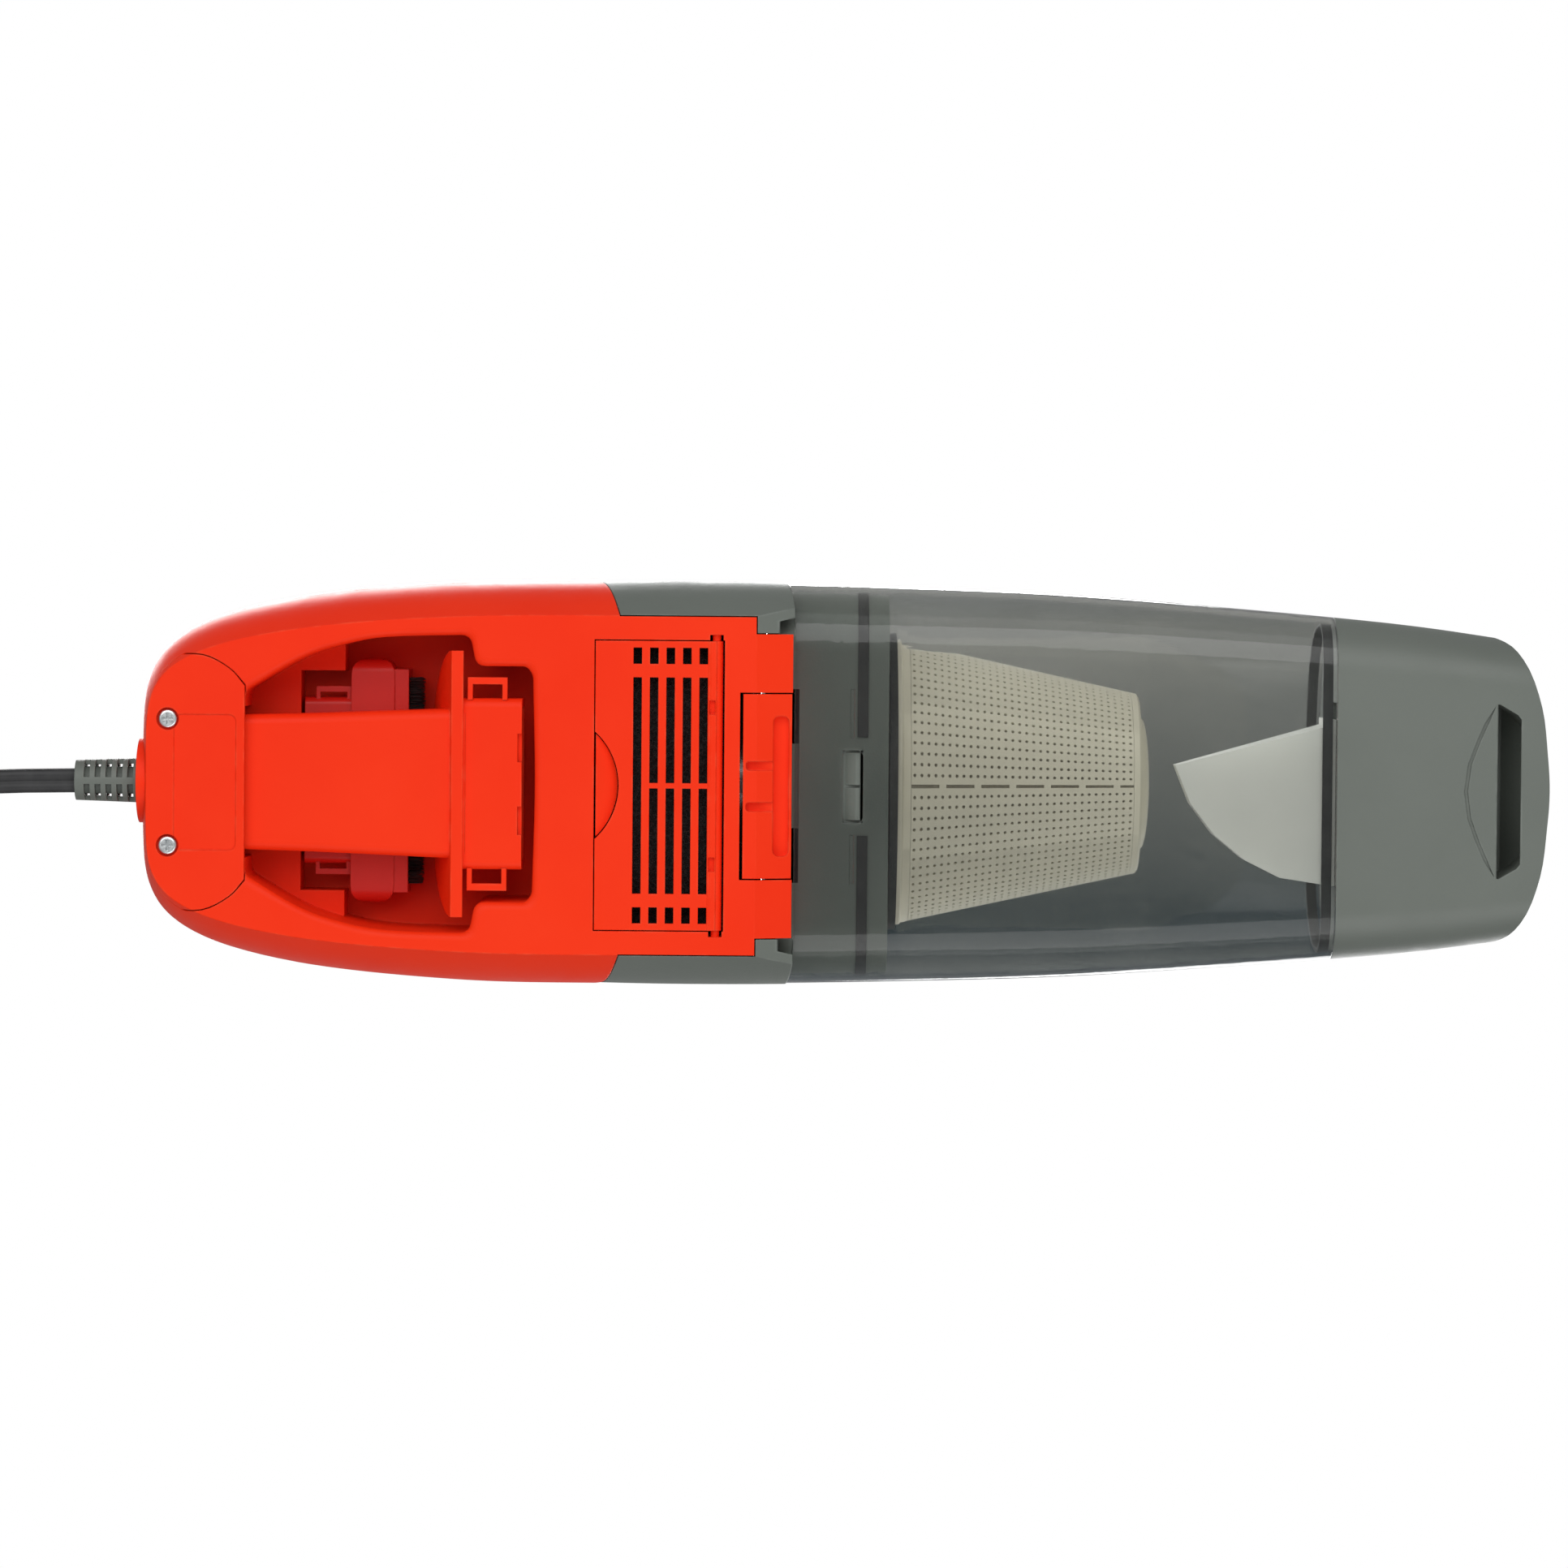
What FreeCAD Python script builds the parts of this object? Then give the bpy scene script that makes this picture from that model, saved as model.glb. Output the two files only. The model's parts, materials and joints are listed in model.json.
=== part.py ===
import FreeCAD, Part
import math
import os
from FreeCAD import Vector

# A corded 12 V handheld vacuum that carries its own crevice tool and brush in a recess underneath.
# Millimetres. It rests on its underside at Z = 0, +X points to the nozzle and +Z is up.

# ---- Driving dimensions ----
REAR_X = -199.5
TIP_X = 200.0
WAIST_X = -78.0          # where the plan reaches its full width
HALF_WIDTH = 57.6
FLAT_HALF = 48.0         # half-width of the flat band underneath
WAIST_Z = 26.0           # height of the widest line
PLAN_POWER = 0.36        # squareness of the rear end seen from above
BASE_TOP = 50.0
WALL = 2.2
GAP = 0.3                # clearance between bodies that move apart
SEAM = 0.3               # visible seam between shells
PART_Z = 24.0            # parting line of tray and upper shells
PANEL_FRONT = -24.8      # where the flat band ends and turns up to the bowl
BOWL_REAR = -13.3
BOWL_FRONT = 139.8
BOWL_BOTTOM = 4.0
NOZZLE_CREASE = 184.6    # where the nozzle's floor turns up to the tip
TIP_RISE = 1.46          # slope of the tip's underside
MOUTH_FRONT = 193.6      # rear edge of the closed lip, and its height
MOUTH_TOP = 17.2
PASSAGE_TOP = 25.0
AXIS_Z = 51.0            # motor, fan and filter axis
RECESS_DEPTH = 38.0
LIP = 2.0                # radius of the recess's rolled edge
SHELF_DEPTH = 24.0
CAP_LIP_X = -169.2
DOOR_X = (-70.2, -34.2)
DOOR_HALF = 40.9
SCOOP_X = -84.0          # centre and radius of the finger scoop behind the door
SCOOP_R = 20.2
HINGE_X = -36.0
HINGE_Z = 2.6
LEVER_X = -28.4
CATCH_WINDOW_X = (-0.2, 5.6)
CORD_D = 6.9
CORD_Z = 13.0            # height of the cord's exit
COIL_CENTRE = Vector(-322.0, -34.0, 0.0)
COIL_RADII = (28.5, 59.5)
COIL_HEIGHT = 21.0
PLUG_X = -360.0          # where the lead enters the plug
PLUG_Y = -78.0
PLUG_Z = COIL_HEIGHT + 13.0

# Half-width and top of the long body at stations along X, from the motor housing to the nozzle.
HULL = (
    (-96.0, 56.5, 84.0),
    (-60.0, 57.6, 97.0),
    (-16.0, 57.5, 101.0),
    (22.0, 56.5, 98.0),
    (60.0, 55.0, 89.0),
    (100.0, 52.2, 76.0),
    (140.0, 48.9, 60.0),
    (168.0, 46.0, 47.0),
    (204.0, 41.0, 33.0),
)


# ---- Shape helpers ----
def block(x, y, z):
    return Part.makeBox(x[1] - x[0], y[1] - y[0], z[1] - z[0], Vector(x[0], y[0], z[0]))


def rod(start, axis, radius, length):
    return Part.makeCylinder(radius, length, Vector(*start), Vector(*axis))


def cone(start, axis, r_start, r_end, length):
    return Part.makeCone(r_start, r_end, length, Vector(*start), Vector(*axis))


def plan_prism(points, z):
    wire = Part.makePolygon([Vector(x, y, z[0]) for x, y in points + points[:1]])
    return Part.Face(wire).extrude(Vector(0, 0, z[1] - z[0]))


def softened(points, corners, steps=4):
    """A closed outline with points added so that it runs in a smooth curve, except at its corners."""
    n = len(points)
    result = []
    for i in range(n):
        a, b = Vector(*points[i]), Vector(*points[(i + 1) % n])
        result.append(points[i])
        before = Vector(*points[i - 1]) if i not in corners else a * 2 - b
        after = Vector(*points[(i + 2) % n]) if (i + 1) % n not in corners else b * 2 - a
        if i in corners and (i + 1) % n in corners:
            continue
        for k in range(1, steps):
            t = k / steps
            p = (a * 2 + (b - before) * t + (before * 2 - a * 5 + b * 4 - after) * t ** 2
                 + (a * 3 - before - b * 3 + after) * t ** 3) * 0.5
            result.append((p.x, p.y))
    return result


def eased(points, reach):
    """A closed outline with its sharp corners replaced by short curves."""
    n = len(points)
    result = []
    for i in range(n):
        here, before, after = (Vector(*points[k % n]) for k in (i, i - 1, i + 1))
        if (here - before).getAngle(after - here) < math.radians(25):
            result.append(points[i])
            continue
        size = min(reach, 0.45 * (here - before).Length, 0.45 * (after - here).Length)
        start = here + (before - here).normalize() * size
        end = here + (after - here).normalize() * size
        for t in (0.0, 0.25, 0.5, 0.75, 1.0):
            p = start * (1 - t) ** 2 + here * (2 * t * (1 - t)) + end * t ** 2
            result.append((p.x, p.y))
    return result


def side_prism(points, y):
    wire = Part.makePolygon([Vector(x, y[0], z) for x, z in points + points[:1]])
    return Part.Face(wire).extrude(Vector(0, y[1] - y[0], 0))


def end_prism(points, x):
    wire = Part.makePolygon([Vector(x[0], y, z) for y, z in points + points[:1]])
    return Part.Face(wire).extrude(Vector(x[1] - x[0], 0, 0))


def mirrored(shape):
    return shape.mirror(Vector(0, 0, 0), Vector(0, 1, 0))


def both_sides(shape):
    return shape.fuse(mirrored(shape))


def joined(shapes):
    return shapes[0].fuse(list(shapes[1:])).removeSplitter()


def group(shapes):
    return Part.makeCompound(shapes)


def rounded(shape, radius, direction):
    """Fillet the straight edges that run along a direction."""
    axis = Vector(*direction)
    edges = [
        e for e in shape.Edges
        if isinstance(e.Curve, Part.Line) and abs(abs(e.Curve.Direction * axis) - 1) < 1e-6
    ]
    return shape.makeFillet(radius, edges)


def rounded_block(x, y, z, radius, direction):
    return rounded(block(x, y, z), radius, direction)


# ---- The body's outer surfaces ----
def flank(z, half, flat, bottom=0.0):
    """Half-width of the steep flank at a height below the waist."""
    rise = min(max((z - bottom) / (WAIST_Z - bottom), 0.0), 1.0)
    return flat + (half - flat) * (1 - (1 - rise) ** 2)


def plan_wire(z, half, rear, front):
    """Rear end as half a superellipse, then straight sides to a flat front."""
    span = WAIST_X - rear
    half_turn = (0, 3, 8, 16, 27, 40, 55, 72, 90)
    angles = [math.radians(-a) for a in reversed(half_turn[1:])] + [math.radians(a) for a in half_turn]
    points = []
    for a in angles:
        reach = math.copysign(half * abs(math.sin(a)) ** PLAN_POWER, a) if a else 0.0
        points.append(Vector(WAIST_X - span * math.cos(a), reach, z))
    curve = Part.BSplineCurve()
    curve.interpolate(Points=points, InitialTangent=Vector(-1, 0, 0), FinalTangent=Vector(1, 0, 0))
    corner_a = Vector(front, half, z)
    corner_b = Vector(front, -half, z)
    return Part.Wire([
        curve.toShape(),
        Part.LineSegment(points[-1], corner_a).toShape(),
        Part.LineSegment(corner_a, corner_b).toShape(),
        Part.LineSegment(corner_b, points[0]).toShape(),
    ])


def base_solid(inset, front):
    """The low rear body, inset from its outer surface."""
    layers = [(0.0, -197.0), (6.0, -198.3), (15.0, -199.2), (WAIST_Z, REAR_X), (37.0, -198.6)]
    wires = []
    for z, rear in layers:
        height = inset + z * (BASE_TOP - 2 * inset) / BASE_TOP
        half = flank(z, HALF_WIDTH, FLAT_HALF) - inset
        wires.append(plan_wire(height, half, rear + inset, front))
    for z, half, rear in ((45.0, 53.5, -195.0), (BASE_TOP, 44.0, -188.0)):
        height = inset + z * (BASE_TOP - 2 * inset) / BASE_TOP
        wires.append(plan_wire(height, half - inset, rear + inset, front))
    return Part.makeLoft(wires, True, False)


def hull_wire(x, half, bottom, top, flat, waist, crease):
    """Section across X: flat bottom, flanks up to the waist, a full dome above."""
    side = []
    for step in range(7):
        t = step / 6
        if crease:
            y = flat + (half - flat) * (1 - (1 - t) ** 2)
            side.append((y, bottom + (waist - bottom) * t))
        else:
            a = math.radians(90 * t)
            side.append((flat + (half - flat) * math.sin(a), waist - (waist - bottom) * math.cos(a)))
    for step in range(1, 9):
        a = math.radians(10 * step)
        power = 2 / 2.5
        side.append((half * math.cos(a) ** power, waist + (top - waist) * math.sin(a) ** power))
    points = [Vector(x, y, z) for y, z in side] + [Vector(x, 0, top)]
    points += [Vector(x, -y, z) for y, z in reversed(side)]
    curve = Part.BSplineCurve()
    curve.interpolate(points)
    return Part.Wire([curve.toShape(), Part.LineSegment(points[-1], points[0]).toShape()])


def hull_at(x):
    for a, b in zip(HULL, HULL[1:]):
        if a[0] <= x <= b[0]:
            t = (x - a[0]) / (b[0] - a[0])
            return a[1] + t * (b[1] - a[1]), a[2] + t * (b[2] - a[2])
    return HULL[-1][1:]


def motor_hull(inset):
    stations = [s for s in HULL if s[0] < 0] + [(12.0,) + hull_at(12.0)]
    wires = [
        hull_wire(x, half - inset, inset, top - inset, FLAT_HALF - inset * 0.6, WAIST_Z, True)
        for x, half, top in stations
    ]
    return Part.makeLoft(wires, True, False)


def front_hull(inset):
    stations = [s for s in HULL if s[0] > -20]
    wires = [hull_wire(-30.0, 57.5 - inset, BOWL_BOTTOM + inset, 101.5 - inset, 40 - inset * 0.6, 30.0, False)]
    for x, half, top in stations:
        waist = 30.0 - max(x, 0) * 0.055
        wires.append(hull_wire(x, half - inset, BOWL_BOTTOM + inset, top - inset,
                               half * 0.70 - inset * 0.6, waist, False))
    return Part.makeLoft(wires, True, False)


def behind_plane(x_at_floor, lean, shift=0.0):
    """Half space behind a cross plane that leans to the rear as it rises."""
    x = x_at_floor + shift
    return side_prism([(-400, -20), (x + 20 * lean, -20), (x - 180 * lean, 180), (-400, 180)], (-90, 90))


HOUSING_LEAN = 0.246
BOWL_LEAN = 0.107
ORANGE_FRONT = -63.4


# ---- Tool recess ----
def recess_half(grow=0.0):
    """Plan outline of the recess with a curved rear part."""
    g = grow
    side = [(CAP_LIP_X - g, 26.0 + g), (-154.0, 34.9 + g), (-142.8, 38.9 + g), (-129.5, 41.4 + g)]
    step = [(-105.6 + g, 42.2 + g), (-104.0 + g, 33.4 + g)]
    front = [(-89.6 + g, 33.4 + g), (-87.9 + g, 31.0 + g), (-87.2 + g, 0.0)]
    half = side + step + front
    outline = half + [(x, -y) for x, y in reversed(half[:-1])]
    sharp = (0, 4, 5, 6, 7, 9, 10, 11, 12, 16)
    return eased(softened(outline, sharp), 2.8)


def recess_lip():
    """Rolled edge of the recess: the outline widens in steps towards the surface."""
    wires = []
    for k in range(6):
        a = math.radians(18 * k)
        spread, z = LIP * (1 - math.sin(a)), LIP * (1 - math.cos(a))
        outline = recess_half(spread)
        wires.append(Part.makePolygon([Vector(x, y, z) for x, y in outline + outline[:1]]))
    return Part.makeLoft(list(reversed(wires)), True, True)


def tool_recess(grow):
    deep = plan_prism(recess_half(grow), (-1 if grow == 0 else 0.0, RECESS_DEPTH + grow))
    if grow:
        return deep
    shelf = block((-180, -155.2), (-60, 60), (SHELF_DEPTH, 60))
    corner = block((-156, -142.6), (31.5, 60), (SHELF_DEPTH, 60))
    return deep.cut([shelf, corner, mirrored(corner)])


def cap_pocket(grow):
    """Pocket behind the recess that takes the crevice tool's tip."""
    g = grow
    return block((-185.0 - g, CAP_LIP_X + 1), (-21.5 - g, 21.5 + g), (0.0 - g, SHELF_DEPTH + g))


def cap_outline(inset):
    """Plan outline of the rear cap."""
    i = inset
    half = [(-197.9 + i, 0), (-197.0 + i, 22 - i), (-194.6 + i, 30.0 - i), (-189.5 + i, 35.2 - i),
            (-181.0, 35.9 - i), (-173.5, 32.2 - i), (CAP_LIP_X - i, 27.4 - i), (CAP_LIP_X - i, 0)]
    outline = half[:-1] + [(x, -y) for x, y in reversed(half[1:-1])]
    return softened(outline, (6, 7))


# ---- Shells ----
def underside_housing():
    front_cut = behind_plane(ORANGE_FRONT, HOUSING_LEAN)
    tray_room = block((-210, 0), (-60, 60), (-1, PART_Z - SEAM / 2))
    tray = base_solid(0, -20).common(tray_room).common(front_cut)
    hollow = base_solid(WALL, -10)
    tray = tray.cut(hollow)
    band_end = BOWL_REAR - 1.1
    slope = [(-70, 0), (PANEL_FRONT, 0), (band_end, 3.6), (band_end, 6.2), (-26, 2.6), (-70, 2.6)]
    band = side_prism(slope, (-43.0, 43.0))
    wide = block((-70, PANEL_FRONT), (-47.8, 47.8), (0, 2.6))
    rim = block((-70, -68), (-47.8, 47.8), (0, 9)).cut(block((-71, -60), (-45, 45), (2, 20)))
    tub = tool_recess(2.0)
    pocket = cap_pocket(2.0).common(block((-190, -160), (-30, 30), (2.0, 30)))
    ears = [block((HINGE_X - 2.6, HINGE_X + 2.6), (42.6, 45.4), (2.0, 7.0))]
    ears.append(mirrored(ears[0]))
    shell = joined([tray, wide, band, rim, tub, pocket] + ears)
    cuts = [tool_recess(0), recess_lip(), cap_pocket(0), door_opening(), lever_opening()]
    cuts.append(plan_prism(cap_outline(-SEAM), (-1, 2.5)))
    cuts.append(rod((-204, 0, CORD_Z), (1, 0, 0), 7.2, 16))
    bulge_room = rod((-204, 0, CORD_Z), (1, 0, 0), 12.3, 10.8)
    cuts.append(bulge_room.common(block((-205, -190), (-14, 14), (0, CORD_Z))))
    cuts.append(rod((0, -50, HINGE_Z), (0, 1, 0), 1.25, 100).translated(Vector(HINGE_X, 0, 0)))
    for y in (-17.9, 17.9):
        cuts.append(rod((-190.9, y, 2), (0, 0, 1), 1.2, 10))
    bosses = [rod((-190.9, y, 2.4), (0, 0, 1), 3.4, 12) for y in (-17.9, 17.9)]
    holes = [rod((-190.9, y, 0), (0, 0, 1), 1.4, 13) for y in (-17.9, 17.9)]
    bosses = [b.cut(h) for b, h in zip(bosses, holes)]
    return joined([shell.cut(cuts)] + bosses)


def door_opening():
    x = (DOOR_X[0] - GAP, DOOR_X[1] + GAP + 0.2)
    return joined([
        block(x, (-DOOR_HALF - GAP, DOOR_HALF + GAP), (-1, 5.4)),
        block((HINGE_X - 1.9, HINGE_X + 1.9), (-42.7, 42.7), (-1, 5.4)),
    ])


def lever_opening():
    return block((LEVER_X - 0.9, 0), (-26.5, 26.5), (-1, 30))


def rear_cap():
    plate = plan_prism(cap_outline(0), (0, 2.2))
    plate = plate.common(base_solid(0, -20))
    bulge = rod((-TIP_X, 0, CORD_Z), (1, 0, 0), 12.0, 6.5)
    bulge = bulge.makeFillet(4.5, [bulge.Edges[0]]).cut(rod((-202, 0, CORD_Z), (1, 0, 0), 9.8, 9))
    bulge = bulge.common(block((-202, -190), (-13, 13), (0, CORD_Z - 0.5)))
    panel = rounded_block((-189.1, -171.6), (-19.2, 19.2), (-1, 0.35), 2.0, (0, 0, 1))
    heads = [rod((-190.9, y, -1), (0, 0, 1), 3.15, 2.6) for y in (-17.9, 17.9)]
    shanks = [rod((-190.9, y, -1), (0, 0, 1), 1.6, 5) for y in (-17.9, 17.9)]
    mouth = rod((-203, 0, CORD_Z), (1, 0, 0), 7.0, 20)
    body = joined([plate, bulge])
    return body.cut([panel, mouth] + heads + shanks)


def pan_screw(position, axis, length):
    """Pan-head cross-recess screw of 2.9 mm, head outwards."""
    head = rod((0, 0, 0), (0, 0, 1), 2.75, 1.4)
    head = head.makeFillet(0.9, [e for e in head.Edges if e.CenterOfMass.z > 1.3 and e.Closed])
    slots = [block((-1.6, 1.6), (-0.35, 0.35), (0.5, 2)), block((-0.35, 0.35), (-1.6, 1.6), (0.5, 2))]
    shank = rod((0, 0, -length), (0, 0, 1), 1.15, length + 0.1)
    screw = head.cut(slots).fuse(shank)
    turn = FreeCAD.Rotation(Vector(0, 0, 1), Vector(*axis))
    screw.Placement = FreeCAD.Placement(Vector(*position), turn)
    return screw


def cap_screws():
    return group([pan_screw((-190.9, y, 1.55), (0, 0, -1), 9) for y in (-17.9, 17.9)])


# ---- Upper shells and handle ----
HANDLE_PATH = ((-186, 30), (-183, 58), (-170, 90), (-143, 113),
               (-106, 122), (-68, 118), (-38, 104), (-22, 86))
HANDLE_HALF = (20.0, 18.0, 16.5, 16.0, 16.5, 17.5, 18.5, 19.5)
HANDLE_THICK = (15.0, 14.0, 13.5, 13.0, 13.5, 14.0, 14.0, 13.0)


def handle_solid(inset):
    path = Part.BSplineCurve()
    path.interpolate([Vector(x, 0, z) for x, z in HANDLE_PATH])
    wires = []
    for (x, z), half, thick in zip(HANDLE_PATH, HANDLE_HALF, HANDLE_THICK):
        centre = Vector(x, 0, z)
        along = path.tangent(path.parameter(centre))[0]
        across = along.cross(Vector(0, 1, 0))
        points = []
        for step in range(16):
            a = 2 * math.pi * step / 16
            c, s = math.cos(a), math.sin(a)
            y = (half - inset) * math.copysign(abs(c) ** 0.8, c)
            r = (thick - inset) * math.copysign(abs(s) ** 0.8, s)
            points.append(centre + Vector(0, y, 0) + across * r)
        ring = Part.BSplineCurve()
        ring.interpolate(points, PeriodicFlag=True)
        wires.append(Part.Wire([ring.toShape()]))
    return Part.makeLoft(wires, True, False)


def upper_shells():
    """Both halves of the orange upper body, split down the middle."""
    above = block((-220, 20), (-80, 80), (PART_Z + SEAM / 2, 200))
    low = base_solid(0, -20).common(above).common(behind_plane(ORANGE_FRONT, HOUSING_LEAN))
    low_hollow = base_solid(WALL, -10)
    handle = handle_solid(0).common(block((-220, 20), (-80, 80), (PART_Z + SEAM / 2, 200)))
    handle = handle.cut(motor_hull(-SEAM).cut(block((-100, -60), (-90, 90), (-10, 52))))
    shell = low.fuse(handle).cut([low_hollow, handle_solid(WALL)])
    shell = shell.cut([tool_recess(2.0 + SEAM), rod((-204, 0, CORD_Z), (1, 0, 0), 7.2, 20)])
    shell = shell.cut(motor_hull(-SEAM).cut(behind_plane(ORANGE_FRONT, HOUSING_LEAN, SEAM)))
    shell = shell.cut(rounded_block((-101, -71), (-6.2, 6.2), (118, 150), 3.0, (0, 0, 1)))
    for x, z in HOUSING_SCREWS:
        tube = rod((x, -16, z), (0, 1, 0), 3.6, 32).common(handle_solid(WALL * 0.5))
        shell = shell.fuse(tube)
    for x, z in HOUSING_SCREWS:
        shell = shell.cut([rod((x, -30, z), (0, 1, 0), 3.1, 19), rod((x, -12, z), (0, 1, 0), 1.3, 24)])
    left = shell.common(block((-220, 20), (SEAM / 2, 90), (0, 200)))
    right = shell.common(block((-220, 20), (-90, -SEAM / 2), (0, 200)))
    return largest(left), largest(right)


def largest(shape):
    return max(shape.Solids, key=lambda s: s.Volume)


HOUSING_SCREWS = ((-176, 78), (-122, 121), (-56, 114))


def housing_screws():
    return group([pan_screw((x, -12.4, z), (0, -1, 0), 16) for x, z in HOUSING_SCREWS])


def motor_housing():
    """Grey sleeve round the motor, open to the bowl, closed by a wall at the back."""
    keep = block((-110, 0), (-80, 80), (0, 130)).cut(behind_plane(ORANGE_FRONT, HOUSING_LEAN, SEAM))
    keep = keep.common(behind_plane(BOWL_REAR, BOWL_LEAN, -GAP))
    hollow = motor_hull(WALL)
    hollow = hollow.cut(behind_plane(ORANGE_FRONT, HOUSING_LEAN, SEAM + WALL))
    shell = motor_hull(0).common(keep).cut(hollow)
    panel = [block((-90, PANEL_FRONT + SEAM), (-48.1, 48.1), (-1, 12.0))]
    panel.append(block((-90, 0), (-43.3, 43.3), (-1, 12.0)))
    wedge = side_prism([(PANEL_FRONT, -1), (PANEL_FRONT, 0), (-12, 4.2), (-12, -1)], (-80, 80))
    tub_room = block((-95, -70), (-48.5, 48.5), (0, BASE_TOP))
    return largest(shell.cut(panel + [wedge, tub_room]))


def fan_housing():
    """Grey collar inside the bowl with the air inlet plate."""
    outer = front_hull(2.9).common(block((-40, 12.9), (-80, 80), (0, 120)))
    outer = outer.cut(behind_plane(BOWL_REAR, BOWL_LEAN, 0.6))
    spigot = front_hull(2.9).common(block((-40, 0), (-80, 80), (0, 120)))
    spigot = spigot.common(behind_plane(BOWL_REAR, BOWL_LEAN, 2))
    spigot = spigot.common(block((-18.9, 0), (-80, 80), (0, 120)))
    hollow = front_hull(5.1).common(block((-40, 10.6), (-80, 80), (0, 120)))
    collar = outer.fuse(spigot).cut(hollow)
    inlet = rod((5, 0, AXIS_Z), (1, 0, 0), 24, 12)
    slot = joined([
        block((-30, 8.5), (-13.4, 13.4), (8.0 - GAP, 15.0)),
        block((-30, -12.6), (-27.5, 27.5), (0, 15.0)),
        block(CATCH_WINDOW_X, (-10.3, 10.3), (0, 9)),
    ])
    levels = [AXIS_Z + z for z in (-16, -8, 0, 8, 16)]
    grille = [block((11.2, 12.9), (-24, 24), (z - 0.8, z + 0.8)) for z in levels]
    grille += [block((11.2, 12.9), (y - 0.8, y + 0.8), (AXIS_Z - 24, AXIS_Z + 24)) for y in (-12, 0, 12)]
    bars = joined(grille).common(rod((5, 0, AXIS_Z), (1, 0, 0), 24.5, 12))
    return largest(collar.cut([inlet, slot]).fuse(bars))


def collar_seal():
    band = front_hull(2.35).cut(front_hull(2.9))
    ring = band.common(block((4.0, 7.0), (-80, 80), (0, 120)))
    return largest(ring.cut(block((0, 10), (-14, 14), (0, 14))))


# ---- Motor and fan ----
def motor_can():
    can = rod((-64.5, 0, AXIS_Z), (1, 0, 0), 18.5, 42.5).cut(rod((-66, 0, AXIS_Z), (1, 0, 0), 17.3, 42.5))
    vents = [rod((-40, 0, AXIS_Z), (0, math.cos(a), math.sin(a)), 3.0, 30) for a in (0.5, 2.6, 3.7, 5.8)]
    return can.cut([rod((-30, 0, AXIS_Z), (1, 0, 0), 5.1, 20)] + vents)


def motor_end_cap():
    cap = rod((-68.0, 0, AXIS_Z), (1, 0, 0), 18.5, 3.5).fuse(rod((-64.5, 0, AXIS_Z), (1, 0, 0), 17.3, 4))
    return cap.cut(rod((-73, 0, AXIS_Z), (1, 0, 0), 5.1, 16))


def motor_bearings():
    def bush(x):
        return rod((x, 0, AXIS_Z), (1, 0, 0), 5.1, 3.2).cut(rod((x - 1, 0, AXIS_Z), (1, 0, 0), 1.64, 6))
    return group([bush(-67.7), bush(-25.3)])


def motor_terminals():
    tabs = [block((-70.6, -68.0), (y - 2.4, y + 2.4), (AXIS_Z - 10.4, AXIS_Z - 9.6)) for y in (-9, 9)]
    return group(tabs)


def motor_mount():
    """Plate that carries the motor inside the housing, behind the fan."""
    plate = motor_hull(WALL + GAP).common(block((-21.9, -19.4), (-80, 80), (20, 130)))
    plate = plate.common(behind_plane(BOWL_REAR, BOWL_LEAN, 0.3))
    return plate.cut([rod((-30, 0, AXIS_Z), (1, 0, 0), 8.0, 20)] + [
        rod((-30, 38 * math.cos(a), AXIS_Z + 34 * math.sin(a)), (1, 0, 0), 6.0, 20)
        for a in [math.radians(60 * k) for k in range(6)]
    ])


def motor_shaft():
    return rod((-69.5, 0, AXIS_Z), (1, 0, 0), 1.6, 75)


def fan_impeller():
    hub = rod((-14, 0, AXIS_Z), (1, 0, 0), 6.0, 17)
    plate = rod((-14, 0, AXIS_Z), (1, 0, 0), 36.0, 1.6)
    blades = []
    for k in range(9):
        blade = block((-13, 2), (5, 35), (AXIS_Z - 0.7, AXIS_Z + 0.7))
        blade.rotate(Vector(0, 0, AXIS_Z), Vector(1, 0, 0), 40 * k)
        blades.append(blade)
    return joined([hub, plate] + blades).cut(rod((-20, 0, AXIS_Z), (1, 0, 0), 1.6, 30))


# ---- Switch, wiring and foam ----
def switch_body():
    return block((-97, -75), (-5.6, 5.6), (112, 122)).cut(block((-95, -77), (-2.4, 2.4), (117.6, 130)))


def power_switch():
    """Ridged slider on top of the handle."""
    cap = rounded_block((-97.5, -80.5), (-5.6, 5.6), (122.4, 139.0), 2.0, (0, 0, 1))
    stem = block((-93, -85), (-2.0, 2.0), (118.2, 124))
    grooves = [block((x - 0.5, x + 0.5), (-7, 7), (138.2, 140)) for x in (-94, -91.5, -89, -86.5, -84)]
    return joined([cap, stem]).cut(grooves)


def wire_run(points, radius):
    """A round wire along straight runs joined by tangent arcs, and the arcs' radii."""
    pts = [Vector(*p) for p in points]
    edges, radii, start = [], [], pts[0]
    for before, here, after in zip(pts, pts[1:], pts[2:]):
        d_in = (here - before).normalize()
        d_out = (after - here).normalize()
        turn = d_in.getAngle(d_out)
        trim = 0.45 * min((here - before).Length, (after - here).Length)
        radii.append(trim / math.tan(turn / 2))
        a = here - d_in * trim
        b = here + d_out * trim
        bisector = (d_out - d_in).normalize()
        sagitta = radii[-1] * (1 / math.cos(turn / 2) - 1)
        edges.append(Part.LineSegment(start, a).toShape())
        edges.append(Part.Arc(a, here + bisector * sagitta, b).toShape())
        start = b
    edges.append(Part.LineSegment(start, pts[-1]).toShape())
    spine = Part.Wire(edges)
    ring = Part.Wire([Part.Circle(pts[0], (pts[1] - pts[0]).normalize(), radius).toShape()])
    tube = spine.makePipeShell([ring], True, False)
    return tube, spine.Length, radii


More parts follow.
